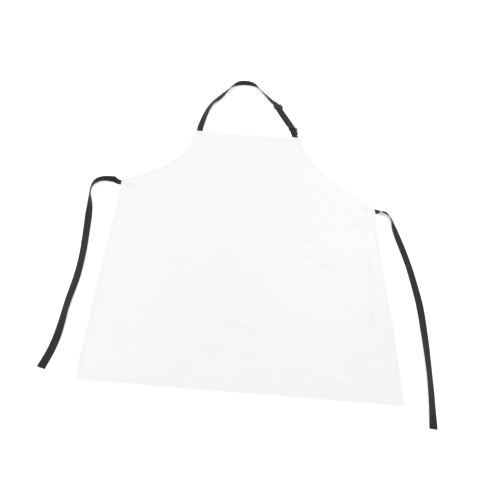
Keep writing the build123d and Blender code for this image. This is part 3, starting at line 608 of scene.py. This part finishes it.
moulded("neck_slider_visual", slider_blocks, np.array(on(RING_BAR, DOUBLE_DIR, L, 0.7)) - SLIDER_DIR * L, SLIDER_DIR, 0.22, "slider",
        "neck_slider")

ring_blocks = [((0.0, 0, TURN_Z), (1.55, 24.8, 1.55), 0.7), ((RING_GAP, 0, TURN_Z), (1.55, 24.8, 1.55), 0.7)]
ring_blocks += [((RING_GAP / 2, s * 11.4, TURN_Z), (RING_GAP + 3.6, 3.4, 2.4), 1.1) for s in (1, -1)]
moulded("neck_ring_visual", ring_blocks, TAB_BAR, RING_DIR, 0.2, "neck_loop", "neck_ring")

# ------------------------------------------------------------------ the panel
BIB_TOP = [(-157, 882), (-130, 882.8), (-92, 884.6), (-54, 886.5), (-8, 889),
           (37, 891.2), (75, 893.3), (112, 895.2), (153, 897)]
RIGHT_ARM = [(153, 897), (157, 868), (160, 850), (166, 832), (172, 814), (178.5, 797),
             (186, 780.5), (196, 763.5), (208.5, 747.5), (222.5, 732), (237, 716.5),
             (250.5, 701.5), (265, 686.5), (280, 672), (295, 657.5), (310.5, 643.5),
             (326.5, 629.5), (342, 616)]
RIGHT_SIDE = [(342, 616), (344.6, 603), (345, 583), (344.6, 560), (344, 530), (343.4, 485),
              (343.3, 414), (343.8, 354), (344.4, 283), (345.4, 229), (345.8, 171),
              (345, 116), (343.8, 63), (342.6, 17), (342, -2.5)]
BOTTOM = [(342, -2.5), (290, -2), (203, -0.6), (83, 0.4), (-46, 0.6), (-121, 1), (-207, 2),
          (-290, 2.4), (-343, 2)]
LEFT_SIDE = [(-343, 2), (-345, 50), (-344.8, 102), (-343.6, 157), (-343.4, 214), (-342.6, 275),
             (-341, 326), (-340.2, 406), (-338.4, 470), (-337.4, 507), (-337.6, 553),
             (-338.2, 576), (-336.6, 602), (-336.2, 629), (-334, 637)]
LEFT_ARM = [(-334, 637), (-307, 653), (-276, 675), (-250, 696), (-226, 717), (-211, 737),
            (-198, 756), (-187, 776), (-179, 796), (-170.5, 816), (-166.2, 835), (-164, 855),
            (-157, 882)]
BIB_HEM, ARM_HEM, SIDE_HEM, BOTTOM_HEM = 25.0, 9.0, 8.0, 10.0
CLOTH_T = 0.40         # thickness of the coated sheet
LAYER = 0.46           # from one layer's middle to the next in a hem


def smooth(points, steps=4):
    out, n = [], len(points)
    for i in range(n - 1):
        p0, p1 = points[max(i - 1, 0)], points[i]
        p2, p3 = points[i + 1], points[min(i + 2, n - 1)]
        for s in range(steps):
            t = s / steps
            out.append(tuple(0.5 * (2 * b + (c - a) * t + (2 * a - 5 * b + 4 * c - d) * t * t
                                    + (3 * b - a - 3 * c + d) * t ** 3)
                             for a, b, c, d in zip(p0, p1, p2, p3)))
    out.append(points[-1])
    return out


EDGES = [(smooth(BIB_TOP, 5), BIB_HEM), (smooth(RIGHT_ARM, 5), ARM_HEM), (smooth(RIGHT_SIDE, 5), SIDE_HEM),
         (smooth(BOTTOM, 5), BOTTOM_HEM), (smooth(LEFT_SIDE, 5), SIDE_HEM), (smooth(LEFT_ARM, 5), ARM_HEM)]


def line_distance(p, line):
    """Distance of points (n, 2) from a polyline."""
    line = np.asarray(line, float)
    best = np.full(len(p), 1e9)
    for a, b in zip(line[:-1], line[1:]):
        d = b - a
        t = np.clip(((p - a) @ d) / (d @ d), 0, 1)
        best = np.minimum(best, np.hypot(*(p - a - t[:, None] * d).T))
    return best


def step(x, lo, hi):
    t = np.clip((x - lo) / (hi - lo), 0, 1)
    return t * t * (3 - 2 * t)


def rect_distance(p, centre, direction, half_len, half_wid):
    """Signed distance outside a turned rectangle; negative inside."""
    d = p - np.array(centre)
    u = np.abs(d @ np.array(direction)) - half_len
    v = np.abs(d @ np.array([direction[1], -direction[0]])) - half_wid
    out = np.hypot(np.maximum(u, 0), np.maximum(v, 0))
    return out + np.minimum(np.maximum(u, v), 0)


# where webbing lies under the panel: middle, direction, half length, half width
def unit(v):
    v = np.array(v, float)
    return v / np.linalg.norm(v)


LT = unit((-0.953, 0.290))
RT = unit((0.995, -0.085))
# the last number is how far the black shows through the sheet: hardly at all under the bib's wide double hem
TAILS = [((-322.0, 619.3), LT, 23.0, 8.0, 1.0), ((330.0, 605.3), RT, 26.0, 8.0, 0.35),
         ((-145.6, 879.0), (0.0, 1.0), 22.0, 8.0, 0.15),
         (tuple(TAB_BAR - TAB_DIR * 44.0), tuple(TAB_DIR), 21.0, 8.0, 0.15)]

# soft folds left in the sheet: points (panel mm), height, half width
RIDGES = [
    ([(-140, 742), (-62, 702), (22, 660)], 1.9, 9.0),
    ([(-120, 770), (-60, 742), (-14, 722)], 1.1, 8.0),
    ([(-158, 797), (-83, 811), (-20, 818)], 0.8, 8.0),
    ([(120, 618), (163, 566), (190, 488)], 2.2, 8.0),
    ([(150, 622), (192, 590), (230, 486)], 2.0, 7.5),
    ([(182, 704), (221, 632), (240, 528)], 2.6, 10.0),
    ([(236, 690), (262, 604), (268, 520)], 2.0, 10.0),
    ([(74, 452), (141, 423), (200, 384), (244, 372)], 2.1, 7.5),
    ([(124, 482), (173, 466), (236, 434)], 2.3, 8.0),
    ([(136, 440), (191, 400), (240, 352)], 1.6, 7.0),
    ([(276, 520), (300, 440), (296, 340), (306, 262)], 2.4, 12.0),
    ([(93, 412), (90, 360), (92, 312)], 1.2, 6.0),
    ([(119, 382), (130, 350), (134, 326)], 1.2, 6.0),
    ([(235, 318), (243, 262), (252, 206)], 1.5, 7.5),
    ([(276, 280), (289, 240), (300, 200)], 1.8, 7.0),
    ([(-108, 224), (-42, 193), (62, 170)], 2.3, 10.0),
    ([(-146, 134), (-71, 116), (-28, 110)], 1.3, 9.0),
    ([(-290, 238), (-250, 206), (-206, 178)], 1.3, 8.5),
    ([(-262, 190), (-204, 170)], 0.9, 8.0),
    ([(-290, 552), (-250, 514), (-212, 462)], 2.0, 9.0),
    ([(-206, 486), (-168, 474)], 1.0, 9.0),
    ([(-288, 418), (-220, 440), (-160, 436)], 0.9, 9.0),
    ([(-152, 244), (-44, 262), (60, 244)], 1.0, 11.0),
    ([(-26, 96), (-14, 24)], 1.0, 8.0),
    ([(168, 58), (262, 42)], 1.1, 9.0),
    ([(318, 606), (290, 566), (262, 520)], 1.6, 8.0),
    ([(322, 596), (306, 540), (300, 480)], 1.5, 8.0),
    ([(-318, 604), (-300, 560), (-296, 500)], 1.5, 9.0),
    ([(-124, 860), (-60, 846), (20, 850)], 0.7, 10.0),
    ([(112, 868), (60, 842), (10, 806)], 1.1, 10.0),
    ([(-240, 90), (-180, 60), (-120, 52)], 0.9, 12.0),
    ([(40, 560), (80, 500), (110, 430)], 0.9, 12.0),
]
CREASE = [(-342, 331), (-154, 353), (9, 372), (180, 380), (343, 384)]


def wrinkles(p):
    x, y = p[:, 0], p[:, 1]
    z = np.zeros(len(p))
    for line, high, wide in RIDGES:
        ctrl = smooth(line, 4) if len(line) > 2 else line
        ctrl = np.asarray(ctrl, float)
        best = np.full(len(p), 1e9)
        share = np.zeros(len(p))
        length = np.concatenate([[0], np.cumsum(np.hypot(*np.diff(ctrl, axis=0).T))])
        for i, (a, b) in enumerate(zip(ctrl[:-1], ctrl[1:])):
            d = b - a
            t = ((p - a) @ d) / (d @ d)
            tc = np.clip(t, 0, 1)
            off = np.hypot(*(p - a - tc[:, None] * d).T)
            near = off < best
            best = np.where(near, off, best)
            share = np.where(near, (length[i] + tc * (length[i + 1] - length[i])) / length[-1], share)
        taper = np.sin(np.pi * np.clip(share, 0, 1)) ** 0.7
        wob = 1 + 0.25 * np.sin(x / 13.0 + y / 19.0 + high * 7)
        z += high * taper * np.exp(-((best / (wide * wob)) ** 2))
    # slow swell of a sheet that doesn't lie quite flat
    z += 0.55 * (1 + np.sin(x / 61.0 + 1.1 * np.sin(y / 97.0)) * np.cos(y / 74.0 + 0.7 * np.sin(x / 83.0)))
    z += 0.22 * (1 + np.sin(x / 23.0 + 2.0 * np.sin(y / 41.0 + 1.0)) * np.sin(y / 29.0 + 1.6 * np.sin(x / 57.0)))
    # the crease it was folded along in its packet
    dc = line_distance(p, smooth(CREASE, 3))
    z += 0.42 * np.exp(-(dc / 2.6) ** 2) * (0.6 + 0.4 * np.sin(x / 48.0))
    return z


def sheet_height(p):
    """Height of the sheet's middle over the table, mm, how much webbing shows from below, and the mask of painted shade
    along the cut edges.
    """
    dist = [line_distance(p, e) for e, _ in EDGES]
    edge = np.min(dist, axis=0)
    hem = np.zeros(len(p))
    groove = np.zeros(len(p))
    for (line, width), d in zip(EDGES, dist):
        hem = np.maximum(hem, 1 - step(d, width - 0.4, width + 1.6))
        back_off = 2.5 if width == BIB_HEM else 1.8
        inside = np.ones(len(p))
        groove = np.maximum(groove, np.exp(-((d - (width - back_off)) / 0.75) ** 2) * inside)
    tails = np.zeros(len(p))
    under = np.zeros(len(p))
    for centre, direction, hl, hw, through in TAILS:
        r = rect_distance(p, centre, direction, hl, hw)
        tails = np.maximum(tails, 1 - step(r, -0.5, 9.0))
        under = np.maximum(under, through * (1 - step(r, -1.0, 0.8)))
    w = wrinkles(p)
    calm = step(edge, 2.0, 34.0)
    x, y = p[:, 0], p[:, 1]
    # edges that lift a little off the table
    d_bottom, d_left, d_right, d_top = dist[3], dist[4], dist[2], dist[0]
    lift = np.exp(-(d_bottom / 26.0) ** 1.5) * (1.15 + 0.75 * np.sin(x / 47.0 + 0.6) + 0.45 * np.sin(x / 19.0))
    lift += np.exp(-(d_right / 22.0) ** 1.5) * (0.9 + 0.8 * np.sin(y / 34.0 + 0.4) + 0.4 * np.sin(y / 15.0)) * step(y, -10, 60) * (1 - step(y, 540, 600))
    lift += np.exp(-(d_left / 22.0) ** 1.5) * (0.7 + 0.6 * np.sin(y / 41.0 + 1.4) + 0.3 * np.sin(y / 17.0)) * step(y, -10, 60) * (1 - step(y, 520, 590))
    for cx, cy, high in ((-343, 2, 1.6), (342, -2.5, 1.6), (-338, 566, 1.6)):
        lift += high * np.exp(-((x - cx) ** 2 + (y - cy) ** 2) / (2 * 30.0 ** 2))
    arm = np.minimum(dist[1], dist[5])
    lift += np.exp(-(arm / 16.0) ** 1.5) * (0.45 + 0.35 * np.sin((x + y) / 27.0)) * step(y, 650, 690)
    lift = np.maximum(lift, 0) * (1 - 0.85 * tails)
    pucker = 0.10 * np.sin(x / 1.9 + y / 2.3) * np.exp(-(edge / 14.0) ** 2) * step(edge, 0.0, 2.0)
    z = CLOTH_T / 2 + 0.03 + LAYER * hem + 1.0 * tails + w * calm * (1 - 0.8 * tails) + lift + pucker
    z -= 0.20 * groove * hem
    return z, under, np.exp(-(edge / 1.2) ** 2)


def boundary_at(line, ys):
    """x of an outline side at heights ys, and the share of its normal that is across."""
    line = np.asarray(line, float)
    order = np.argsort(line[:, 1])
    ly, lx = line[order, 1], line[order, 0]
    x = np.interp(ys, ly, lx)
    slope = (np.interp(ys + 6, ly, lx) - np.interp(ys - 6, ly, lx)) / 12.0
    return x, 1 / np.sqrt(1 + slope ** 2)


LEFT_LINE = EDGES[4][0][:-1] + EDGES[5][0]
RIGHT_LINE = EDGES[1][0][:-1] + EDGES[2][0]
BOTTOM_LINE = np.array(EDGES[3][0])[::-1]
TOP_LINE = np.array(EDGES[0][0])


def spread_lines(total, first, last, pitch):
    """Places from 0 to total: first and last are the fine spacings at the two ends."""
    a, b = np.array(first, float), total - np.array(last, float)[::-1]
    n = max(2, int(round((b[0] - a[-1]) / pitch)))
    return np.concatenate([a, np.linspace(a[-1], b[0], n + 1)[1:-1], b])


SIDE_FINE = [0, 0.5, 1.2, 2.2, 3.4, 4.6, 5.4, 5.9, 6.4, 6.9, 7.4, 7.9, 8.5, 9.2, 10.0, 11.2, 13.2, 15.8, 19, 22.5, 26]
BOTTOM_FINE = [0, 0.5, 1.3, 2.5, 4, 5.6, 6.8, 7.4, 7.9, 8.4, 8.9, 9.5, 10.1, 10.8, 11.6, 13, 15.5, 18.5, 22]
TOP_FINE = [0, 0.5, 1.3, 3, 6, 9.5, 13, 16.5, 19.3, 21, 21.7, 22.2, 22.7, 23.3, 24.0, 24.8, 25.6, 26.6, 28.5, 31.5, 35]

rows_y = spread_lines(889.0, BOTTOM_FINE, TOP_FINE, 3.5)
for y_corner in (616.0, 637.0):
    rows_y[np.argmin(np.abs(rows_y - y_corner))] = y_corner
N_MID = 172


def panel_grid():
    """Grid of panel points (rows, columns, 2), its outline on the cut edges."""
    grid = []
    for y0 in rows_y:
        fb, ft = 1 - step(np.array([y0]), 20, 160)[0], step(np.array([y0]), 700, 868)[0]

        def level(x):
            b = np.interp(x, BOTTOM_LINE[:, 0], BOTTOM_LINE[:, 1])
            t = np.interp(x, TOP_LINE[:, 0], TOP_LINE[:, 1]) - 889.0
            return y0 + fb * b + ft * t

        yl, yr = float(level(-343.0 if y0 < 400 else -157.0)), float(level(342.0 if y0 < 400 else 153.0))
        (xl,), (nl,) = boundary_at(LEFT_LINE, np.array([yl]))
        (xr,), (nr,) = boundary_at(RIGHT_LINE, np.array([yr]))
        a = np.array(SIDE_FINE) / max(nl, 0.55)
        b = np.array(SIDE_FINE) / max(nr, 0.55)
        left, right = xl + a, xr - b[::-1]
        mid = np.linspace(left[-1], right[0], N_MID)[1:-1]
        xs = np.concatenate([left, mid, right])
        ys = level(xs)
        share = (xs - xl) / (xr - xl)
        ys = ys + (1 - share) * (yl - ys[0]) + share * (yr - ys[-1])
        grid.append(np.stack([xs, ys], 1))
    return np.array(grid)


def build_panel():
    grid = panel_grid()
    nr, nc = grid.shape[:2]
    flat = grid.reshape(-1, 2)
    z, under, edge = sheet_height(flat)
    top = np.column_stack([flat, z])
    idx = np.arange(nr * nc).reshape(nr, nc)
    faces = []
    for i in range(nr - 1):
        a, b = idx[i], idx[i + 1]
        faces += list(zip(a[:-1], a[1:], b[1:], b[:-1]))
    # the outline, counter-clockwise from the bottom left corner
    loop = list(idx[0, :]) + list(idx[1:, -1]) + list(idx[-1, -2::-1]) + list(idx[-2:0:-1, 0])
    corner_at = {0: "bl"}
    n = len(loop)
    pts = flat[loop]
    kinds, widths = [], []
    for q in range(n):
        if q < nc - 1:
            widths.append(BOTTOM_HEM)
        elif q < nc - 1 + nr - 1:
            y = pts[q][1]
            widths.append(SIDE_HEM if y < 616 - 0.5 else ARM_HEM)
        elif q < 2 * (nc - 1) + nr - 1:
            widths.append(BIB_HEM)
        else:
            y = pts[q][1]
            widths.append(SIDE_HEM if y <= 637 + 0.5 else ARM_HEM)
    widths = np.array(widths)
    corners = [0, nc - 1, nc - 1 + nr - 1, 2 * (nc - 1) + nr - 1]
    for y_corner, side in ((616.0, 1), (637.0, -1)):
        rowi = int(np.argmin(np.abs(rows_y - y_corner)))
        corners.append(loop.index(idx[rowi, -1] if side > 0 else idx[rowi, 0]))
    seg = np.roll(pts, -1, 0) - pts
    seg_len = np.hypot(*seg.T)
    tan = seg / seg_len[:, None]
    inward = np.column_stack([-tan[:, 1], tan[:, 0]])
    before = np.roll(inward, 1, 0)
    norm = inward + before
    norm /= np.linalg.norm(norm, axis=1)[:, None]
    arc = np.concatenate([[0], np.cumsum(seg_len)])
    total = arc[-1]
    # near a corner the folded strip is cut on the mitre
    limit = np.full(n, 1e9)
    for k in corners:
        turn = math.acos(float(np.clip(tan[k - 1] @ tan[k], -1, 1)))
        half = (math.pi - turn) / 2
        d = np.abs(arc[:n] - arc[k])
        d = np.minimum(d, total - d)
        limit = np.minimum(limit, d * math.tan(half) * 0.97)
        norm[k] = inward[k]
    verts = [top]
    ring_prev = np.array(loop)
    count = len(top)
    top_loop = top[loop]
    unders, edges = [under], [edge]
    bend = [(0.16, -0.06), (0.23, -0.23), (0.16, -0.40)]

    def add_ring(xyz):
        nonlocal count, ring_prev
        verts.append(xyz)
        new = np.arange(count, count + n)
        count += n
        for q in range(n):
            r = (q + 1) % n
            faces.append((ring_prev[r], ring_prev[q], new[q], new[r]))
        ring_prev = new
        unders.append(np.zeros(n))
        # the hem's fold and its folded layer get half of the painted edge shade
        edges.append(np.ones(n) * 0.5)

    for out, down in bend:
        xy = pts - norm * out
        add_ring(np.column_stack([xy, top_loop[:, 2] + down * LAYER / 0.46]))
    for f in (0.0, 0.06, 0.16, 0.34, 0.52, 0.70, 0.86, 1.0):
        s = np.minimum(widths * f, limit)
        xy = pts + norm * s[:, None]
        zz, _, _ = sheet_height(xy)
        # the folded layer stays below the sheet it belongs to
        add_ring(np.column_stack([xy, zz - LAYER]))
    verts = np.concatenate(verts)
    obj = to_object("apron_panel", row(verts), faces, attrs=[
        ("under", np.concatenate(unders)), ("hem_edge_painted_shade", np.concatenate(edges))])
    obj.data.materials.append(VINYL)
    mod = obj.modifiers.new("thickness", "SOLIDIFY")
    mod.thickness = CLOTH_T / 1000
    mod.offset = 0.0
    mod.use_even_offset = False
    mod.use_rim = True
    dg = bpy.context.evaluated_depsgraph_get()
    me = bpy.data.meshes.new_from_object(obj.evaluated_get(dg))
    obj.modifiers.clear()
    obj.data = me
    me.polygons.foreach_set("use_smooth", [True] * len(me.polygons))
    return obj


panel = build_panel()
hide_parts("skirt_panel", "bib_panel")
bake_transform(panel)


# ------------------------------------------------------------------ stitching
def resample(line, spacing):
    line = np.asarray(line, float)
    s = np.concatenate([[0], np.cumsum(np.hypot(*np.diff(line, axis=0).T))])
    n = max(1, int(round(s[-1] / spacing)))
    at = np.linspace(0, s[-1], n + 1)
    return np.column_stack([np.interp(at, s, line[:, k]) for k in (0, 1)])


def shifted(line, dist):
    """Line moved to its right-hand side."""
    line = np.asarray(line, float)
    t = np.gradient(line, axis=0)
    t /= np.linalg.norm(t, axis=1)[:, None]
    return line + np.column_stack([t[:, 1], -t[:, 0]]) * dist


def trimmed(line, start, end):
    line = np.asarray(line, float)
    s = np.concatenate([[0], np.cumsum(np.hypot(*np.diff(line, axis=0).T))])
    keep = s[(s > start) & (s < s[-1] - end)]
    at = np.concatenate([[start], keep, [s[-1] - end]])
    return np.column_stack([np.interp(at, s, line[:, k]) for k in (0, 1)])


RING_SIDES = 7


def stitches(name, ends, material, thick=0.42, height=None, over=0.10, seed=3):
    """Single stitches as short bowed threads between pairs of points; height(p) is the cloth's
    upper face in mm."""
    rng = np.random.default_rng(seed)
    verts, faces, uv = [], [], []
    ends = np.asarray(ends, float)
    a, b = ends[:, 0], ends[:, 1]
    steps = np.array([0.0, 0.1, 0.3, 0.5, 0.7, 0.9, 1.0])
    bow = np.array([-0.34, 0.02, 0.20, 0.24, 0.20, 0.02, -0.34]) * thick
    fat = np.array([0.55, 0.95, 1.0, 1.0, 1.0, 0.95, 0.55])
    pts = a[:, None, :] + (b - a)[:, None, :] * steps[None, :, None]
    z = height(pts.reshape(-1, 2)).reshape(len(ends), len(steps))
    ang = np.arange(RING_SIDES) / RING_SIDES * 2 * math.pi
    for i in range(len(ends)):
        d = b[i] - a[i]
        ln = np.hypot(*d)
        if ln < 1e-6:
            continue
        d = d / ln
        side = np.array([d[1], -d[0], 0.0])
        lean = rng.uniform(-0.05, 0.05)
        base = len(verts)
        for k, f in enumerate(steps):
            c = np.array([pts[i, k, 0] + side[0] * lean, pts[i, k, 1] + side[1] * lean,
                          z[i, k] + over + bow[k]])
            r = thick / 2 * fat[k]
            for g in ang:
                verts.append(c + side * (math.cos(g) * r) + np.array([0, 0, math.sin(g) * r * 0.9]))
                uv.append((g / (2 * math.pi), (ln * f) / 1000))
        m = len(steps)
        for k in range(m - 1):
            for g in range(RING_SIDES):
                h = (g + 1) % RING_SIDES
                p = base + k * RING_SIDES
                faces.append((p + g, p + RING_SIDES + g, p + RING_SIDES + h, p + h))
        faces.append(tuple(base + g for g in range(RING_SIDES)))
        faces.append(tuple(base + (m - 1) * RING_SIDES + g for g in range(RING_SIDES))[::-1])
    obj = to_object(name, row(np.array(verts)), faces, uv=uv)
    obj.data.materials.append(material)
    return obj


def cloth_top(p):
    z, _, _ = sheet_height(p)
    return z + CLOTH_T / 2


def pairs(line, pitch=3.3, gap=0.55):
    """Stitch end points along a line."""
    q = resample(line, pitch)
    d = q[1:] - q[:-1]
    ln = np.hypot(*d.T)[:, None]
    d = d / ln
    return np.stack([q[:-1] + d * gap / 2, q[1:] - d * gap / 2], 1)


def seam(name, node_name, line, bodies, seed):
    obj = stitches(name, pairs(line), WHITE_THREAD, height=cloth_top, seed=seed)
    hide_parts(node_name)
    if bodies == "both":
        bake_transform(obj)
    else:
        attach(obj, bodies)
    return obj


seam("bib_hem_stitches", "bib_hem_stitching", trimmed(shifted(EDGES[0][0], BIB_HEM - 2.5), 1.5, 1.5), "bib", 11)
seam("left_armhole_stitches", "left_armhole_stitching", trimmed(shifted(EDGES[5][0], ARM_HEM - 1.8), 5, 24.5), "both", 12)
seam("right_armhole_stitches", "right_armhole_stitching", trimmed(shifted(EDGES[1][0], ARM_HEM - 1.8), 24.5, 5), "both", 13)
seam("left_side_stitches", "left_side_stitching", trimmed(shifted(EDGES[4][0], SIDE_HEM - 1.8), 9, 5), "both", 14)
seam("right_side_stitches", "right_side_stitching", trimmed(shifted(EDGES[2][0], SIDE_HEM - 1.8), 5, 9), "both", 15)
seam("bottom_hem_stitches", "bottom_hem_stitching", trimmed(shifted(EDGES[3][0], BOTTOM_HEM - 1.8), 2, 2), "skirt", 16)


def box_pairs(cx, cy, dx, dy, wide, length, pitch=2.6):
    """Stitches of a square with a cross."""
    u, v = np.array([dx, dy]), np.array([dy, -dx])
    c = np.array([cx, cy])
    h, w = length / 2, wide / 2
    k = [c + u * a + v * b for a, b in ((-h, -w), (h, -w), (h, w), (-h, w))]
    out = []
    for a, b in ((k[0], k[1]), (k[1], k[2]), (k[2], k[3]), (k[3], k[0]), (k[0], k[2]), (k[1], k[3])):
        out.append(pairs([a, b], pitch, 0.45))
    return np.concatenate(out)


def anchor(name, node_name, box, body, seed):
    obj = stitches(name, box_pairs(*box), WHITE_THREAD, height=cloth_top, seed=seed)
    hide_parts(node_name)
    if body == "both":
        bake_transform(obj)
    else:
        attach(obj, body)


tab_mid = TAB_BAR - TAB_DIR * 48.0
anchor("left_tie_anchor_stitches", "left_tie_anchor_stitching", (-314.0, 616.6, 0.953, -0.304, 10.5, 14.0), "both", 21)
anchor("right_tie_anchor_stitches", "right_tie_anchor_stitching", (319.5, 606.4, 0.997, -0.08, 10.5, 14.0), "skirt", 22)
anchor("neck_strap_anchor_stitches", "neck_strap_anchor_stitching", (-145.6, 871.0, 0.0, 1.0, 10.5, 12.0), "bib", 23)
anchor("ring_tab_anchor_stitches", "ring_tab_anchor_stitching",
       (tab_mid[0], tab_mid[1], TAB_DIR[0], TAB_DIR[1], 10.5, 12.0), "bib", 24)


def bartack(name, node_name, base, direction, a, z, body, seed):
    """Bartack: close zigzag of black thread across the webbing."""
    ends = []
    n = 20
    for i in range(n):
        b0, b1 = -6.3 + 12.6 * i / n, -6.3 + 12.6 * (i + 1) / n
        ends.append([on(base, direction, a - 0.75, b0), on(base, direction, a + 0.75, b1)])
        ends.append([on(base, direction, a + 0.75, b1), on(base, direction, a - 0.75, b1)])
    obj = stitches(name, ends, BLACK_THREAD, thick=0.34, height=lambda p: np.full(len(p), z), over=0.05, seed=seed)
    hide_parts(node_name)
    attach(obj, body)


bartack("strap_end_bartack_stitches", "strap_end_bartack", RING_BAR, DOUBLE_DIR, DOUBLE_LEN - 5.0, 2.08, "slider", 31)
bartack("ring_tab_bartack_stitches", "ring_tab_bartack", TAB_BAR, TAB_DIR, -16.0, 2.05, "neck_loop", 32)


# ------------------------------------------------------------------ floor and light
def floor_material():
    m, nt, sh = new_material("floor")
    vec = coords(nt)
    n = noise(nt, vec, 3.0, 3.0, 0.5)
    nt.links.new(mixc(nt, n, (0.955, 0.955, 0.955), (0.97, 0.97, 0.97)), sh.inputs["Base Color"])
    sh.inputs["Roughness"].default_value = 0.9
    sh.inputs["Specular IOR Level"].default_value = 0.1
    sh.inputs["Emission Color"].default_value = (1.0, 1.0, 1.0, 1.0)
    sh.inputs["Emission Strength"].default_value = 0.35
    return m


floor = to_object("floor", [(-9, -9, -0.0004), (9, -9, -0.0004), (9, 9, -0.0004), (-9, 9, -0.0004)], [(0, 1, 2, 3)],
                  smooth=False)
floor.data.materials.append(floor_material())


def area_light(name, place, target, size, power, colour=(1, 1, 1)):
    data = bpy.data.lights.new(name, "AREA")
    data.shape = "RECTANGLE"
    data.size, data.size_y = size
    data.energy = power
    data.color = colour
    obj = bpy.data.objects.new(name, data)
    bpy.context.scene.collection.objects.link(obj)
    obj.location = place
    obj.rotation_euler = (Vector(target) - Vector(place)).to_track_quat("-Z", "Y").to_euler()
    return obj


world = bpy.data.worlds.new("studio")
bpy.context.scene.world = world
world.use_nodes = True
wt = world.node_tree
sky = node(wt, "ShaderNodeSeparateXYZ", {"Vector": node(wt, "ShaderNodeTexCoord").outputs["Generated"]}).outputs["Z"]
sky = node(wt, "ShaderNodeMapRange", {"Value": sky, "From Min": 0.0, "From Max": 1.0, "To Min": 0.62, "To Max": 1.215}).outputs[0]
wt.nodes["Background"].inputs[0].default_value = (1.0, 1.0, 1.0, 1)
wt.links.new(sky, wt.nodes["Background"].inputs[1])
area_light("key", (-1.9, 0.9, 3.0), (0, 0, 0), (1.8, 1.8), 29.0)
area_light("gloss", (0.76, 1.42, 1.42), (0.26, -0.05, 0), (0.55, 1.1), 3.4)
bpy.context.scene.view_settings.view_transform = "Standard"
bpy.context.scene.view_settings.look = "None"
